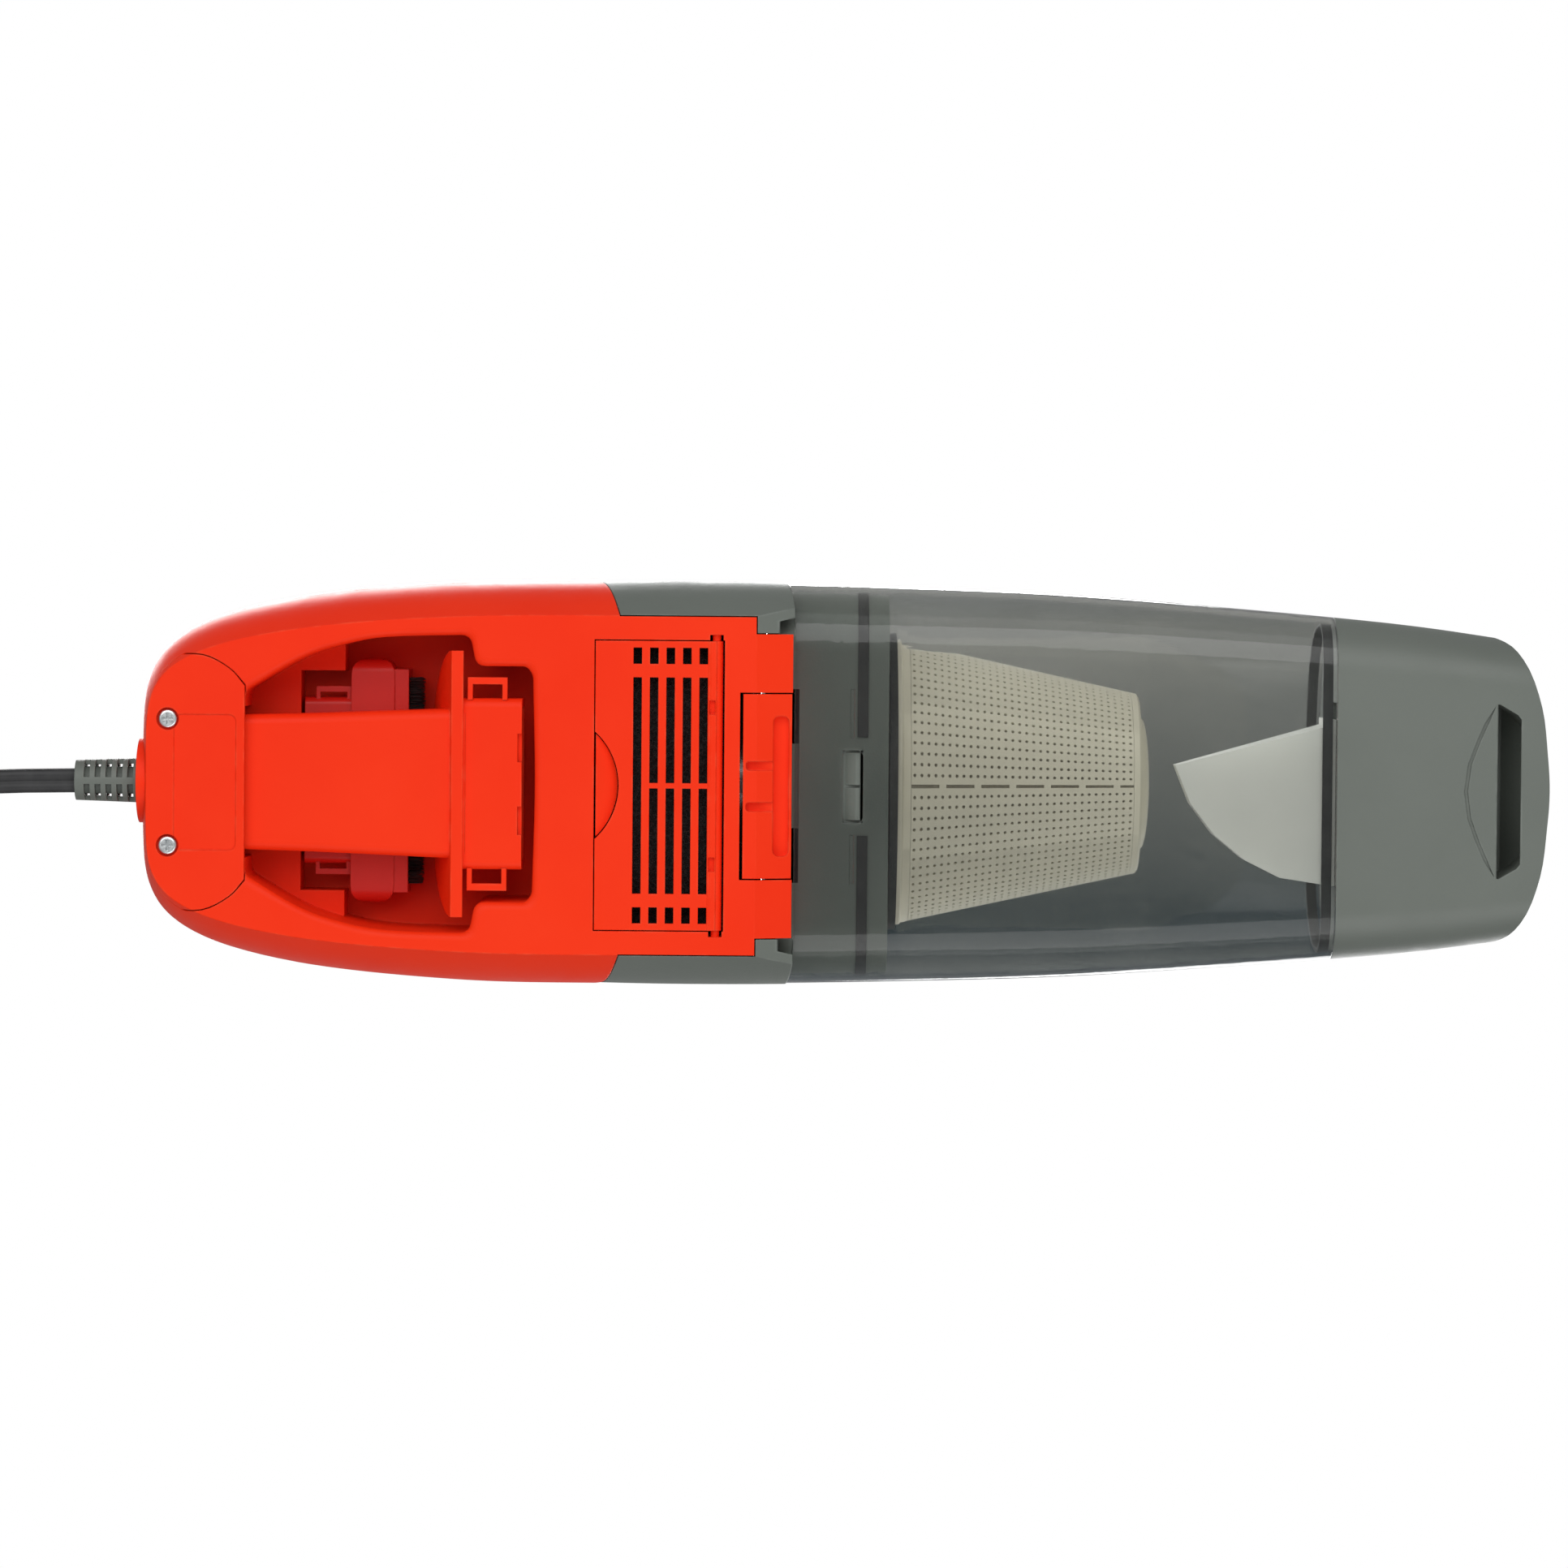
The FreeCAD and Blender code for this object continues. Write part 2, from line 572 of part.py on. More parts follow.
def internal_wires():
    """Both cores, from the clamp up the handle to the switch."""
    route = [(-191.5, 0, 26.5), (-185, 0, 42), (-176, 0, 60), (-165, 0, 85),
             (-140.5, 0, 106), (-118, 0, 112.5),
             (-97.3, 0, 114.5)]
    cores = []
    for y in (-1.4, 1.4):
        cores.append(wire_run([(x, y, z) for x, _, z in route], 0.9)[0])
    return group(cores)


def cord_clamp():
    bar = block((-195.0, -188.5), (-8, 8), (22.4, 26)).cut(block((-193.5, -189.5), (-3.2, 3.2), (20, 28)))
    return bar


def exhaust_foam():
    return block((-67.5, -33.6), (-39.5, 39.5), (6.2, 11.2))


# ---- Exhaust door ----
def exhaust_door():
    x0, x1 = DOOR_X
    plate = block((x0, HINGE_X), (-DOOR_HALF, DOOR_HALF), (0.3, 2.4))
    barrel = rod((HINGE_X, -DOOR_HALF, HINGE_Z), (0, 1, 0), 1.8, 2 * DOOR_HALF)
    barrel = barrel.common(block((-60, 0), (-60, 60), (0.3, 10)))
    ridge = side_prism([(-41.5, 2.3), (-38.0, 0.0), (-36.5, 0.75), (-36.0, 2.4)], (-DOOR_HALF, DOOR_HALF))
    rim = joined([plate, barrel, ridge])
    cuts = []
    for k in range(5):
        a = -59.5 + 4.66 * k
        cuts.append(both_sides(block((a, a + 2.4), (34.4, 39.0), (-1, 5))))
        if k == 0:
            cuts.append(block((a, a + 2.4), (-30.6, 30.6), (-1, 5)))
        else:
            cuts.append(both_sides(block((a, a + 2.4), (0.75, 30.6), (-1, 5))))
    cuts.append(both_sides(block((-38.0, -36.3), (20.2, 24.2), (-1, 1.6))))
    cuts.append(rod((SCOOP_X, 0, -2), (0, 0, 1), SCOOP_R + GAP, 8))
    return largest(rim.cut(cuts))


def door_pins():
    pin = rod((HINGE_X, DOOR_HALF, HINGE_Z), (0, 1, 0), 1.2, 4)
    return group([pin, mirrored(pin)])


def finger_scoop():
    """Curved dish in the tray behind the door's notch."""
    slope = side_prism([(-70.0, 1.1), (-62.0, 4.1), (-62.0, 5.3), (-70.0, 2.5)], (-SCOOP_R, SCOOP_R))
    return slope.common(rod((SCOOP_X, 0, 0), (0, 0, 1), SCOOP_R, 8))


# ---- Bowl release ----
def release_button():
    """Push button whose finger channel runs across, with two grooves to its rear."""
    outline = [(LEVER_X, 0.4), (-24.6, 0.4), (BOWL_REAR - 1.3, 4.0), (BOWL_REAR - 1.3, 8.0), (LEVER_X, 8.0)]
    body = side_prism(outline, (-26.1, 26.1))
    channel = rounded_block((-19.9, -15.4), (-19.9, 19.9), (-1, 5.2), 1.8, (0, 0, 1))
    groove = rounded_block((-27.6, -18), (-7.1, -4.5), (-1, 2.6), 1.0, (0, 0, 1))
    grooves = [groove, mirrored(groove)]
    hollow = block((LEVER_X + 1.5, -17), (-24.4, 24.4), (6.2, 9))
    return body.cut([channel, hollow] + grooves)


def release_catch():
    """Grey arm that carries the twin teeth into the bowl's window."""
    arm = block((-16, 5.0), (-12.0, 12.0), (8.0, 10.0))
    tooth = side_prism([(0.6, 8.0), (4.8, 8.0), (4.8, 6.6), (3.6, 6.6)], (0.4, 9.6))
    return joined([arm, tooth, mirrored(tooth)])


def release_spring():
    helix = Part.makeHelix(1.7, 8.5, 3.0)
    ring = Part.Wire([Part.Circle(Vector(3.0, 0, 0), Vector(0, 1, 0), 0.35).toShape()])
    coil = Part.Wire(helix.Edges).makePipeShell([ring], True, True)
    coil.translate(Vector(-22.0, 0, 8.5))
    return coil


# ---- Bowl, nozzle and inlet ----
def dust_bowl():
    keep = block((-40, BOWL_FRONT), (-80, 80), (0, 120)).cut(behind_plane(BOWL_REAR, BOWL_LEAN))
    shell = front_hull(0).common(keep)
    hollow = front_hull(2.0).common(block((-60, BOWL_FRONT + 5), (-80, 80), (0, 120)))
    window = rounded_block(CATCH_WINDOW_X, (-10.3, 10.3), (0, 7), 2.0, (0, 0, 1))
    rib = block((2.0, 3.0), (-27.5, 27.5), (6.0, 6.4)).cut(block((0, 5), (-13.8, 13.8), (0, 9)))
    return largest(shell.cut(hollow).fuse(rib).cut(window))


def nozzle_outer(inset):
    """Grey nozzle: rounded plan, a floor that turns up to the tip, a falling roof."""
    body = front_hull(inset).common(block((BOWL_FRONT, 210), (-80, 80), (0, 120)))
    half = [(130, 55 - inset), (168, 47.6 - inset), (185.5 - inset * 0.5, 43.6 - inset),
            (192.5 - inset, 37.5 - inset), (197.6 - inset, 24 - inset), (199.4 - inset, 10),
            (TIP_X - inset, 0)]
    outline = half + [(x, -y) for x, y in reversed(half[:-1])]
    plan = plan_prism(softened(outline, (0, 1, len(outline) - 2, len(outline) - 1)), (0, 100))
    crease = NOZZLE_CREASE - inset * 0.3
    side = [(130, 0), (crease, 0), (crease, BOWL_BOTTOM + inset),
            (TIP_X + 2, BOWL_BOTTOM + inset + (TIP_X + 2 - crease) * TIP_RISE), (TIP_X + 2, 100), (130, 100)]
    return body.common([plan]).common(side_prism(side, (-80, 80)))


def mouth_space():
    """Air passage of the nozzle: it opens in the rising tip, behind a closed front lip."""
    floor = BOWL_BOTTOM + 2.4
    side = [(130, floor), (NOZZLE_CREASE - 1.8, floor), (NOZZLE_CREASE + 0.2, BOWL_BOTTOM + 0.3),
            (NOZZLE_CREASE + 5, 0.9), (MOUTH_FRONT + 5, MOUTH_TOP - 3.5), (MOUTH_FRONT, MOUTH_TOP),
            (MOUTH_FRONT - 5, PASSAGE_TOP), (130, PASSAGE_TOP)]
    half = [(120, 24.7), (MOUTH_FRONT - 7.8, 24.7), (MOUTH_FRONT - 2.8, 21.8), (MOUTH_FRONT, 18.2),
            (210, 18.2)]
    plan = plan_prism(half + [(x, -y) for x, y in reversed(half)], (0, 40))
    return side_prism(side, (-30, 30)).common(plan)


def lip_arc(inset):
    """Half-moon pad behind the mouth."""
    half = [(NOZZLE_CREASE, 24.3), (181.6, 19.6), (179.2, 14.2), (176.8, 7.6), (175.8, 0)]
    outline = [(x + inset * (x < NOZZLE_CREASE), y) for x, y in half]
    return plan_prism(outline + [(x, -y) for x, y in reversed(outline[:-1])], (0, BOWL_BOTTOM + 0.6))


def nozzle():
    shell = nozzle_outer(0)
    hollow = nozzle_outer(2.4).cut(block((100, BOWL_FRONT + 2.2), (-80, 80), (0, 120)))
    shell = shell.cut(hollow)
    passage = block((BOWL_FRONT + 1, MOUTH_FRONT + 4), (-26.7, 26.7), (BOWL_BOTTOM + 0.1, PASSAGE_TOP + 2))
    passage = passage.common(nozzle_outer(0))
    groove = lip_arc(0).cut(lip_arc(1.0))
    return largest(shell.fuse(passage).cut([mouth_space(), groove]))


DUCT_PLAN = ((94.1, -6.7), (137.4, -18.1), (137.4, 27.0), (124.0, 25.0), (113.9, 20.0), (105.4, 13.1),
             (98.5, 4.1))


def duct_solid(inset, z):
    i = inset
    points = [(x + (i * 1.6 if x < 130 else 0), y - math.copysign(i, y)) for x, y in DUCT_PLAN]
    return plan_prism(points, z)


def duct_roof(lift):
    """Slanted roof plane that the flap closes."""
    return side_prism([(80, -10), (80, 11 + lift), (142, 36.5 + lift), (142, -10)], (-60, 60))


def inlet_duct():
    solid = duct_solid(0, (BOWL_BOTTOM + 3.5, 60)).common(duct_roof(0))
    hollow = duct_solid(1.6, (BOWL_BOTTOM + 5.0, 70))
    wall = solid.cut(hollow)
    opening = block((134, 141), (-16, 24.4), (BOWL_BOTTOM + 4.4, 27.0))
    rib = plan_prism([(108.0, -13.4), (127.5, -18.5), (127.9, -17.2), (108.4, -11.8)], (BOWL_BOTTOM + 2.6, 15))
    front = block((137.4, 139.6), (-20.0, 27.2), (BOWL_BOTTOM + 3.0, 36)).common(front_hull(3.6))
    return largest(joined([wall, rib, front]).cut(opening))


def inlet_flap():
    sheet = duct_solid(0.3, (BOWL_BOTTOM, 70)).common(duct_roof(1.9)).cut(duct_roof(0.4))
    return sheet.cut(block((136.6, 150), (-60, 60), (0, 80)))


def bowl_seal():
    band = front_hull(2.35).cut(front_hull(3.2))
    return band.common(block((135.8, 138.6), (-80, 80), (0, 120)))


# ---- Filter ----
def filter_cage():
    outer = cone((17.0, 0, AXIS_Z), (1, 0, 0), 41.0, 26.0, 69.0)
    bulge = Part.makeSphere(60.0, Vector(29.4, 0, AXIS_Z)).common(block((86.0, 95), (-30, 30), (0, 90)))
    bulge = bulge.common(rod((80, 0, AXIS_Z), (1, 0, 0), 19.5, 20))
    rim = rod((13.3, 0, AXIS_Z), (1, 0, 0), 43.0, 3.7)
    hollow = cone((12.0, 0, AXIS_Z), (1, 0, 0), 39.8, 24.4, 72.0)
    shell = joined([outer, rim, bulge]).cut(hollow)
    slots = []
    for a, b in ((21, 29), (32, 39), (42.5, 50), (53.5, 61), (64, 71.5), (74.5, 79)):
        slots.append(rounded_block((a, b), (-0.5, 0.5), (0, AXIS_Z), 0.45, (0, 0, 1)))
    return shell.cut(slots)


def fine_filter():
    """Pleated cup inside the cage."""
    points = []
    for k in range(48):
        a = 2 * math.pi * k / 48
        points.append((a, 1.0 if k % 2 else 0.86))
    wires = []
    for x, r in ((14.0, 37.5), (80.0, 23.0)):
        ring = [Vector(x, r * s * math.cos(a), AXIS_Z + r * s * math.sin(a)) for a, s in points]
        wires.append(Part.makePolygon(ring + ring[:1]))
    body = Part.makeLoft(wires, True, True)
    return body.cut(cone((13.0, 0, AXIS_Z), (1, 0, 0), 29.5, 17.5, 64.0))


def filter_seal():
    return rod((13.2, 0, AXIS_Z), (1, 0, 0), 44.5, 2.4).cut(rod((12, 0, AXIS_Z), (1, 0, 0), 43.1, 5))


# ---- Stored tools ----
def lying_loop(x, y, z, bar):
    """Side clip: a small frame standing out sideways from a spigot."""
    outer = block(x, y, z)
    inner = block((x[0] + bar, x[1] - bar), (y[0] - 1, y[1] - bar * 1.4), (z[0] - 1, z[1] + 1))
    return outer.cut(inner)


def crevice_tool():
    sections = []
    for x, half, low, high in ((-181.5, 18.8, 4.0, 13.5), (-150, 19.6, 3.2, 17.5), (-107.0, 21.3, 2.6, 21.5)):
        outline = rounded_block((x, x + 1), (-half, half), (low, high), 2.6, (1, 0, 0))
        face = min(outline.Faces, key=lambda f: f.CenterOfMass.x)
        sections.append(face.OuterWire)
    blade = Part.makeLoft(sections, True, True)
    d_plate = Part.makeCylinder(37.7, 3.4, Vector(0, 0, 0), Vector(1, 0, 0))
    d_plate = d_plate.common(block((-1, 5), (-40, 40), (0, 40)))
    scale = FreeCAD.Matrix()
    scale.scale(1.0, 1.0, 0.86)
    d_plate = d_plate.transformGeometry(scale)
    shear = FreeCAD.Matrix(1, 0, -0.24, -110.9, 0, 1, 0, 0, 0, 0, 1, 1.4, 0, 0, 0, 1)
    d_plate = d_plate.transformGeometry(shear)
    spigot = rounded_block((-110.0, -91.0), (-24.2, 24.2), (3.0, 19.0), 2.4, (1, 0, 0))
    clip = lying_loop((-106.4, -95.2), (23.8, 30.2), (3.4, 6.4), 1.4)
    bore = rounded_block((-109.0, -90.0), (-21.9, 21.9), (5.2, 16.8), 1.6, (1, 0, 0))
    bore = bore.fuse(rounded_block((-183, -108), (-16.4, 16.4), (6.2, 11.4), 1.6, (1, 0, 0)))
    notches = [block((-92.2, -90), (y - 4, y + 4), (0, 5)) for y in (-10.3, 10.3)]
    tool = joined([blade, d_plate, spigot, clip, mirrored(clip)])
    return largest(tool.cut([bore] + notches))


def brush_tool():
    spigot = rounded_block((-154.2, -140.0), (-23.9, 23.9), (25.0, 36.6), 2.0, (1, 0, 0))
    head = rounded_block((-140.8, -128.4), (-34.8, 34.8), (23.2, 36.8), 3.5, (1, 0, 0))
    corners = [(-140.8, -34.8), (-128.4, -34.8), (-128.4, 34.8), (-140.8, 34.8)]
    head = head.common(plan_prism(eased(corners, 4.5), (20, 40)))
    back = rod((-131.0, 0, 23.6), (0, 0, 1), 35.5, 13.0).common(block((-129.0, -124.4), (-32, 32), (20, 40)))
    clip = lying_loop((-151.0, -141.0), (23.4, 27.0), (25.6, 28.4), 1.2)
    bore = rounded_block((-155, -132.0), (-21.6, 21.6), (27.0, 34.8), 1.4, (1, 0, 0))
    return largest(joined([spigot, head, back, clip, mirrored(clip)]).cut(bore))


def brush_bristles():
    """Two bristle blocks standing out of the brush head."""
    points = [(-124.4, 13.0), (-124.4, 30.0), (-120.4, 27.0), (-119.9, 22.0), (-120.4, 15.0)]
    tuft = plan_prism(points, (25.0, 35.6))
    return group([tuft, mirrored(tuft)])


# ---- Cord and 12 V plug ----
def strain_relief():
    body = cone((-218.1, 0, CORD_Z), (1, 0, 0), 5.75, 6.6, 26.0)
    flange = rod((-193.6, 0, CORD_Z), (1, 0, 0), 8.6, 3.4)
    hollow = cone((-219, 0, CORD_Z), (1, 0, 0), 4.4, 5.1, 26.0)
    shell = joined([body, flange]).cut(hollow)
    cuts = []
    for k in range(5):
        x = -215.4 + 3.1 * k
        for y in ((1.0, 9.0), (-9.0, -1.0)):
            cuts.append(block((x, x + 1.6), y, (CORD_Z - 9, CORD_Z - 1.2)))
            cuts.append(block((x, x + 1.6), y, (CORD_Z + 1.2, CORD_Z + 9)))
    core = rod((-218.1, 0, CORD_Z), (1, 0, 0), 3.9, 27.0)
    end_ring = rod((-218.1, 0, CORD_Z), (1, 0, 0), 5.0, 1.4)
    inner_ring = rod((-192.5, 0, CORD_Z), (1, 0, 0), 6.0, 1.2)
    bore = rod((-219, 0, CORD_Z), (1, 0, 0), 3.46, 30)
    return largest(joined([shell.cut(cuts), end_ring, core, inner_ring]).cut(bore))


LEAD_ROUTE = [(-190.5, 0, CORD_Z), (-243, 0, CORD_Z), (-266, 3, 6.2), (-287, 11, 3.6), (-305, 18.5, 3.6),
              (-322, 21.5, 3.6)]


def tail_route():
    """From inside the coil up on to it and along to the plug."""
    points = []
    for angle, radius, z in ((30, 38, 17.5), (75, 41, 22), (120, 45, 25), (165, 50, 27), (205, 57, 30.5)):
        a = math.radians(angle)
        points.append((COIL_CENTRE.x + radius * math.cos(a), COIL_CENTRE.y + radius * math.sin(a), z))
    return points + [(PLUG_X, PLUG_Y, PLUG_Z)]


def cord_lead():
    return wire_run(LEAD_ROUTE, CORD_D / 2)


def cord_tail():
    return wire_run(tail_route(), CORD_D / 2)


def cord_coil():
    outer = Part.makeCylinder(COIL_RADII[1], COIL_HEIGHT, COIL_CENTRE)
    inner = Part.makeCylinder(COIL_RADII[0], COIL_HEIGHT + 2, COIL_CENTRE - Vector(0, 0, 1))
    return outer.cut(inner)


def plug_rod(x, radius, length):
    return rod((PLUG_X + x, PLUG_Y, PLUG_Z), (1, 0, 0), radius, length)


def plug_cone(x, r0, r1, length):
    return cone((PLUG_X + x, PLUG_Y, PLUG_Z), (1, 0, 0), r0, r1, length)


def car_plug_body():
    relief = plug_cone(0, 4.6, 7.5, 10)
    grip = plug_cone(10, 9.0, 12.4, 8).fuse(plug_rod(18, 12.4, 26))
    body = joined([relief, grip]).cut(plug_rod(20, 9.2, 25))
    grooves = []
    for k in range(12):
        groove = block((PLUG_X + 20, PLUG_X + 40), (PLUG_Y - 0.8, PLUG_Y + 0.8), (PLUG_Z + 11.6, PLUG_Z + 14))
        groove.rotate(Vector(PLUG_X, PLUG_Y, PLUG_Z), Vector(1, 0, 0), 30 * k)
        grooves.append(groove)
    return body.cut(grooves)


def car_plug_barrel():
    barrel = plug_rod(44.1, 10.4, 24).fuse(plug_cone(68.1, 10.4, 7.6, 4))
    barrel = barrel.cut([plug_rod(43, 8.0, 25), plug_rod(60, 3.3, 20)])
    slot = block((PLUG_X + 47, PLUG_X + 60), (PLUG_Y - 12, PLUG_Y + 12), (PLUG_Z - 2.4, PLUG_Z + 2.4))
    return barrel.cut(slot)


def car_plug_tip():
    return plug_rod(66.0, 3.0, 9.0).fuse(plug_rod(64.0, 4.6, 2.0))


def car_plug_contacts():
    strips = []
    for side in (-1, 1):
        strip = block((PLUG_X + 47.6, PLUG_X + 59.4), (PLUG_Y + side * 9.8 - 0.5, PLUG_Y + side * 9.8 + 0.5),
                      (PLUG_Z - 2.0, PLUG_Z + 2.0))
        strips.append(strip)
    return group(strips)


def car_plug_fuse():
    return plug_rod(34.0, 3.2, 25.5)


NODES = {
    "underside_housing": underside_housing,
    "rear_cap": rear_cap,
    "cap_screws": cap_screws,
    "housing_screws": housing_screws,
    "motor_housing": motor_housing,
    "fan_housing": fan_housing,
    "collar_seal": collar_seal,
    "motor_can": motor_can,
    "motor_end_cap": motor_end_cap,
    "motor_bearings": motor_bearings,
    "motor_terminals": motor_terminals,
    "motor_mount": motor_mount,
    "motor_shaft": motor_shaft,
    "fan_impeller": fan_impeller,
    "switch_body": switch_body,
    "power_switch": power_switch,
    "internal_wires": internal_wires,
    "cord_clamp": cord_clamp,
    "exhaust_foam": exhaust_foam,
    "exhaust_door": exhaust_door,
    "door_pins": door_pins,
    "finger_scoop": finger_scoop,
    "release_button": release_button,
    "release_catch": release_catch,
    "release_spring": release_spring,
    "dust_bowl": dust_bowl,
    "nozzle": nozzle,
    "inlet_duct": inlet_duct,
    "inlet_flap": inlet_flap,
    "bowl_seal": bowl_seal,
    "filter_cage": filter_cage,
    "fine_filter": fine_filter,
    "filter_seal": filter_seal,
    "crevice_tool": crevice_tool,
    "brush_tool": brush_tool,
    "brush_bristles": brush_bristles,
    "strain_relief": strain_relief,
    "cord_coil": cord_coil,
    "car_plug_body": car_plug_body,
    "car_plug_barrel": car_plug_barrel,
    "car_plug_tip": car_plug_tip,
    "car_plug_contacts": car_plug_contacts,
    "car_plug_fuse": car_plug_fuse,
}


def main():
    os.makedirs("parts", exist_ok=True)
    shapes = {name: make() for name, make in NODES.items()}
    shapes["upper_shell_left"], shapes["upper_shell_right"] = upper_shells()
    section = math.pi * (CORD_D / 2) ** 2
    for name, (tube, length, radii) in (("cord", cord_lead()), ("cord_end", cord_tail())):
        shapes[name] = tube
        print(name, "length", round(length, 1), "radii", [round(r, 1) for r in radii],
              "volume ratio", round(tube.Volume / (section * length), 4))
    for name, shape in shapes.items():
        print(name, len(shape.Solids), round(shape.Volume), shape.isValid())
        shape.exportStep(f"parts/{name}.step")


main()
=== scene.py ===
import json
import math
import random

import bpy
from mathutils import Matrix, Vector


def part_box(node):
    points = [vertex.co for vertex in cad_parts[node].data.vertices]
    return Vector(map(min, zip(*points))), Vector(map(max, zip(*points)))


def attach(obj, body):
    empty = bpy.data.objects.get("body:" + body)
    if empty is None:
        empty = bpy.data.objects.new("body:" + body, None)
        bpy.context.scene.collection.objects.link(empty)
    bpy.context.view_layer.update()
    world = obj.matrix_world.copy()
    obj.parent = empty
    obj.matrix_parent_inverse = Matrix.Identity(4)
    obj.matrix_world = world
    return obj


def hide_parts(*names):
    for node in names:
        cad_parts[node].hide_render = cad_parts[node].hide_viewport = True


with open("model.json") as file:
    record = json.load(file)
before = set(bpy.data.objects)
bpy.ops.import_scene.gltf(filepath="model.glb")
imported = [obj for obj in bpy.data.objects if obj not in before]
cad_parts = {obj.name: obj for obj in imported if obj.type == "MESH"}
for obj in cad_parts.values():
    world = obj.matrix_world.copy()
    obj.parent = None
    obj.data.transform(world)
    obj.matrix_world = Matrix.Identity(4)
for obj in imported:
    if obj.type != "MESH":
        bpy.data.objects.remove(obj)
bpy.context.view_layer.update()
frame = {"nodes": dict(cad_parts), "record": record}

# Corded 12 V handheld vacuum, seen from below. Metres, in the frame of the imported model.
NODES = frame["nodes"]
SLOTS = {part["node"]: part["material_slot"] for part in frame["record"]["subparts"]}


def add_object(name, data):
    thing = bpy.data.objects.new(name, data)
    bpy.context.scene.collection.objects.link(thing)
    return thing


# ---- Camera ----
CAMERA_DISTANCE = 1.6
VIEW_WIDTH = 0.4427          # width of the view where the vacuum's underside is
VIEW_CENTRE = (-0.0172, -0.0008)
SENSOR = 36.0
FAR_CLIP = 20
ROLL = math.radians(0.45)
TILT = math.radians(2.0)     # the underside is seen slightly from its -Y side


def add_camera():
    data = bpy.data.cameras.new("camera")
    data.sensor_width = SENSOR
    data.lens = SENSOR * CAMERA_DISTANCE / VIEW_WIDTH
    data.clip_end = FAR_CLIP
    camera = add_object("camera", data)
    camera.location = (VIEW_CENTRE[0], VIEW_CENTRE[1] - CAMERA_DISTANCE * math.sin(TILT),
                       -CAMERA_DISTANCE * math.cos(TILT))
    camera.rotation_euler = (math.pi - TILT, 0, -ROLL)
    bpy.context.scene.camera = camera


add_camera()


# ---- Cord: the CAD's route, with the turns of the coil made by a loop ----
CORD_WIDTH = 0.0069
CORE_RADIUS = 0.00178
CORE_OFFSET = CORD_WIDTH / 2 - CORE_RADIUS
LOBE_POINTS = 9
CORD_Z = 0.013
COIL_CENTRE = Vector((-0.322, -0.034, 0))
COIL_OUTER = 0.0555
COIL_INNER = 0.0325
COIL_LAYERS = (0.0036, 0.0105, 0.0175)    # height of each layer
COIL_TURNS = 16.8
COIL_START = 90                           # angle of the first turn, in degrees
POINTS_PER_TURN = 16
TOP_LAYER_REACH = 0.8                     # share of the way inwards that the top layer covers
CLIMB_FROM = 0.94                         # share of a layer after which it climbs to the next
CLIMB = 0.007
TURN_WOBBLE = 0.0003
PLUG_START = (-0.360, -0.078, 0.034)

LEAD_ROUTE = [
    (-0.1905, 0, CORD_Z), (-0.243, 0, CORD_Z), (-0.266, 0.003, 0.0062), (-0.287, 0.011, 0.0036),
    (-0.305, 0.0185, 0.0036),
]
# Degrees round the coil, radius and height
TAIL_ROUTE = [(75, 0.041, 0.022), (120, 0.045, 0.0252), (165, 0.050, 0.027), (205, 0.057, 0.0305)]


def on_coil(degrees, radius, z):
    a = math.radians(degrees)
    return (COIL_CENTRE.x + radius * math.cos(a), COIL_CENTRE.y + radius * math.sin(a), z)


def coil_points():
    """Turns wound inwards, outwards and inwards again, one layer on another."""
    rng = random.Random(5)
    total = int(COIL_TURNS * POINTS_PER_TURN)
    per_layer = total / len(COIL_LAYERS)
    top = len(COIL_LAYERS) - 1
    points = []
    for i in range(total + 1):
        layer = min(int(i / per_layer), top)
        along = i / per_layer - layer
        inward = along if layer % 2 == 0 else 1 - along
        if layer == top:
            inward *= TOP_LAYER_REACH
        radius = COIL_OUTER + (COIL_INNER - COIL_OUTER) * inward
        climbed = min(max(along - CLIMB_FROM, 0) / (1 - CLIMB_FROM), 1) if layer < top else 0
        z = COIL_LAYERS[layer] + climbed * CLIMB
        degrees = COIL_START + 360 * i / POINTS_PER_TURN
        points.append(on_coil(degrees, radius + rng.uniform(-1, 1) * TURN_WOBBLE, z))
    return points


def twin_outline():
    """Section of the flat lead: two round cores side by side."""
    open_half = math.acos(-CORE_OFFSET / CORE_RADIUS)
    lobe = [(2 * step / (LOBE_POINTS - 1) - 1) * open_half for step in range(LOBE_POINTS)]
    right = [(CORE_OFFSET + CORE_RADIUS * math.cos(a), CORE_RADIUS * math.sin(a)) for a in lobe]
    return right + [(-x, -y) for x, y in right]


def cord_route(controls):
    """Even centre line of a NURBS curve through the route."""
    curve = bpy.data.curves.new("cord_route", "CURVE")
    curve.dimensions = "3D"
    spline = curve.splines.new("NURBS")
    spline.points.add(len(controls) - 1)
    for point, co in zip(spline.points, controls):
        point.co = (*co, 1)
    spline.order_u = 3
    spline.use_endpoint_u = True
    spline.resolution_u = 4
    route = add_object("cord_route", curve)
    route.hide_render = True
    line = bpy.data.meshes.new_from_object(route)
    return [v.co.copy() for v in line.vertices]


def roll_at(i, lead_end, coil_end):
    """Flat side down at both ends of the cord, on edge in the coil."""
    if i >= coil_end:
        return math.pi / 2 * max(0.0, 1 - (i - coil_end + 1) / 4)
    settle = min(max((i - 2) / (lead_end + 4), 0), 1)
    return math.pi / 2 * settle * settle * (3 - 2 * settle)


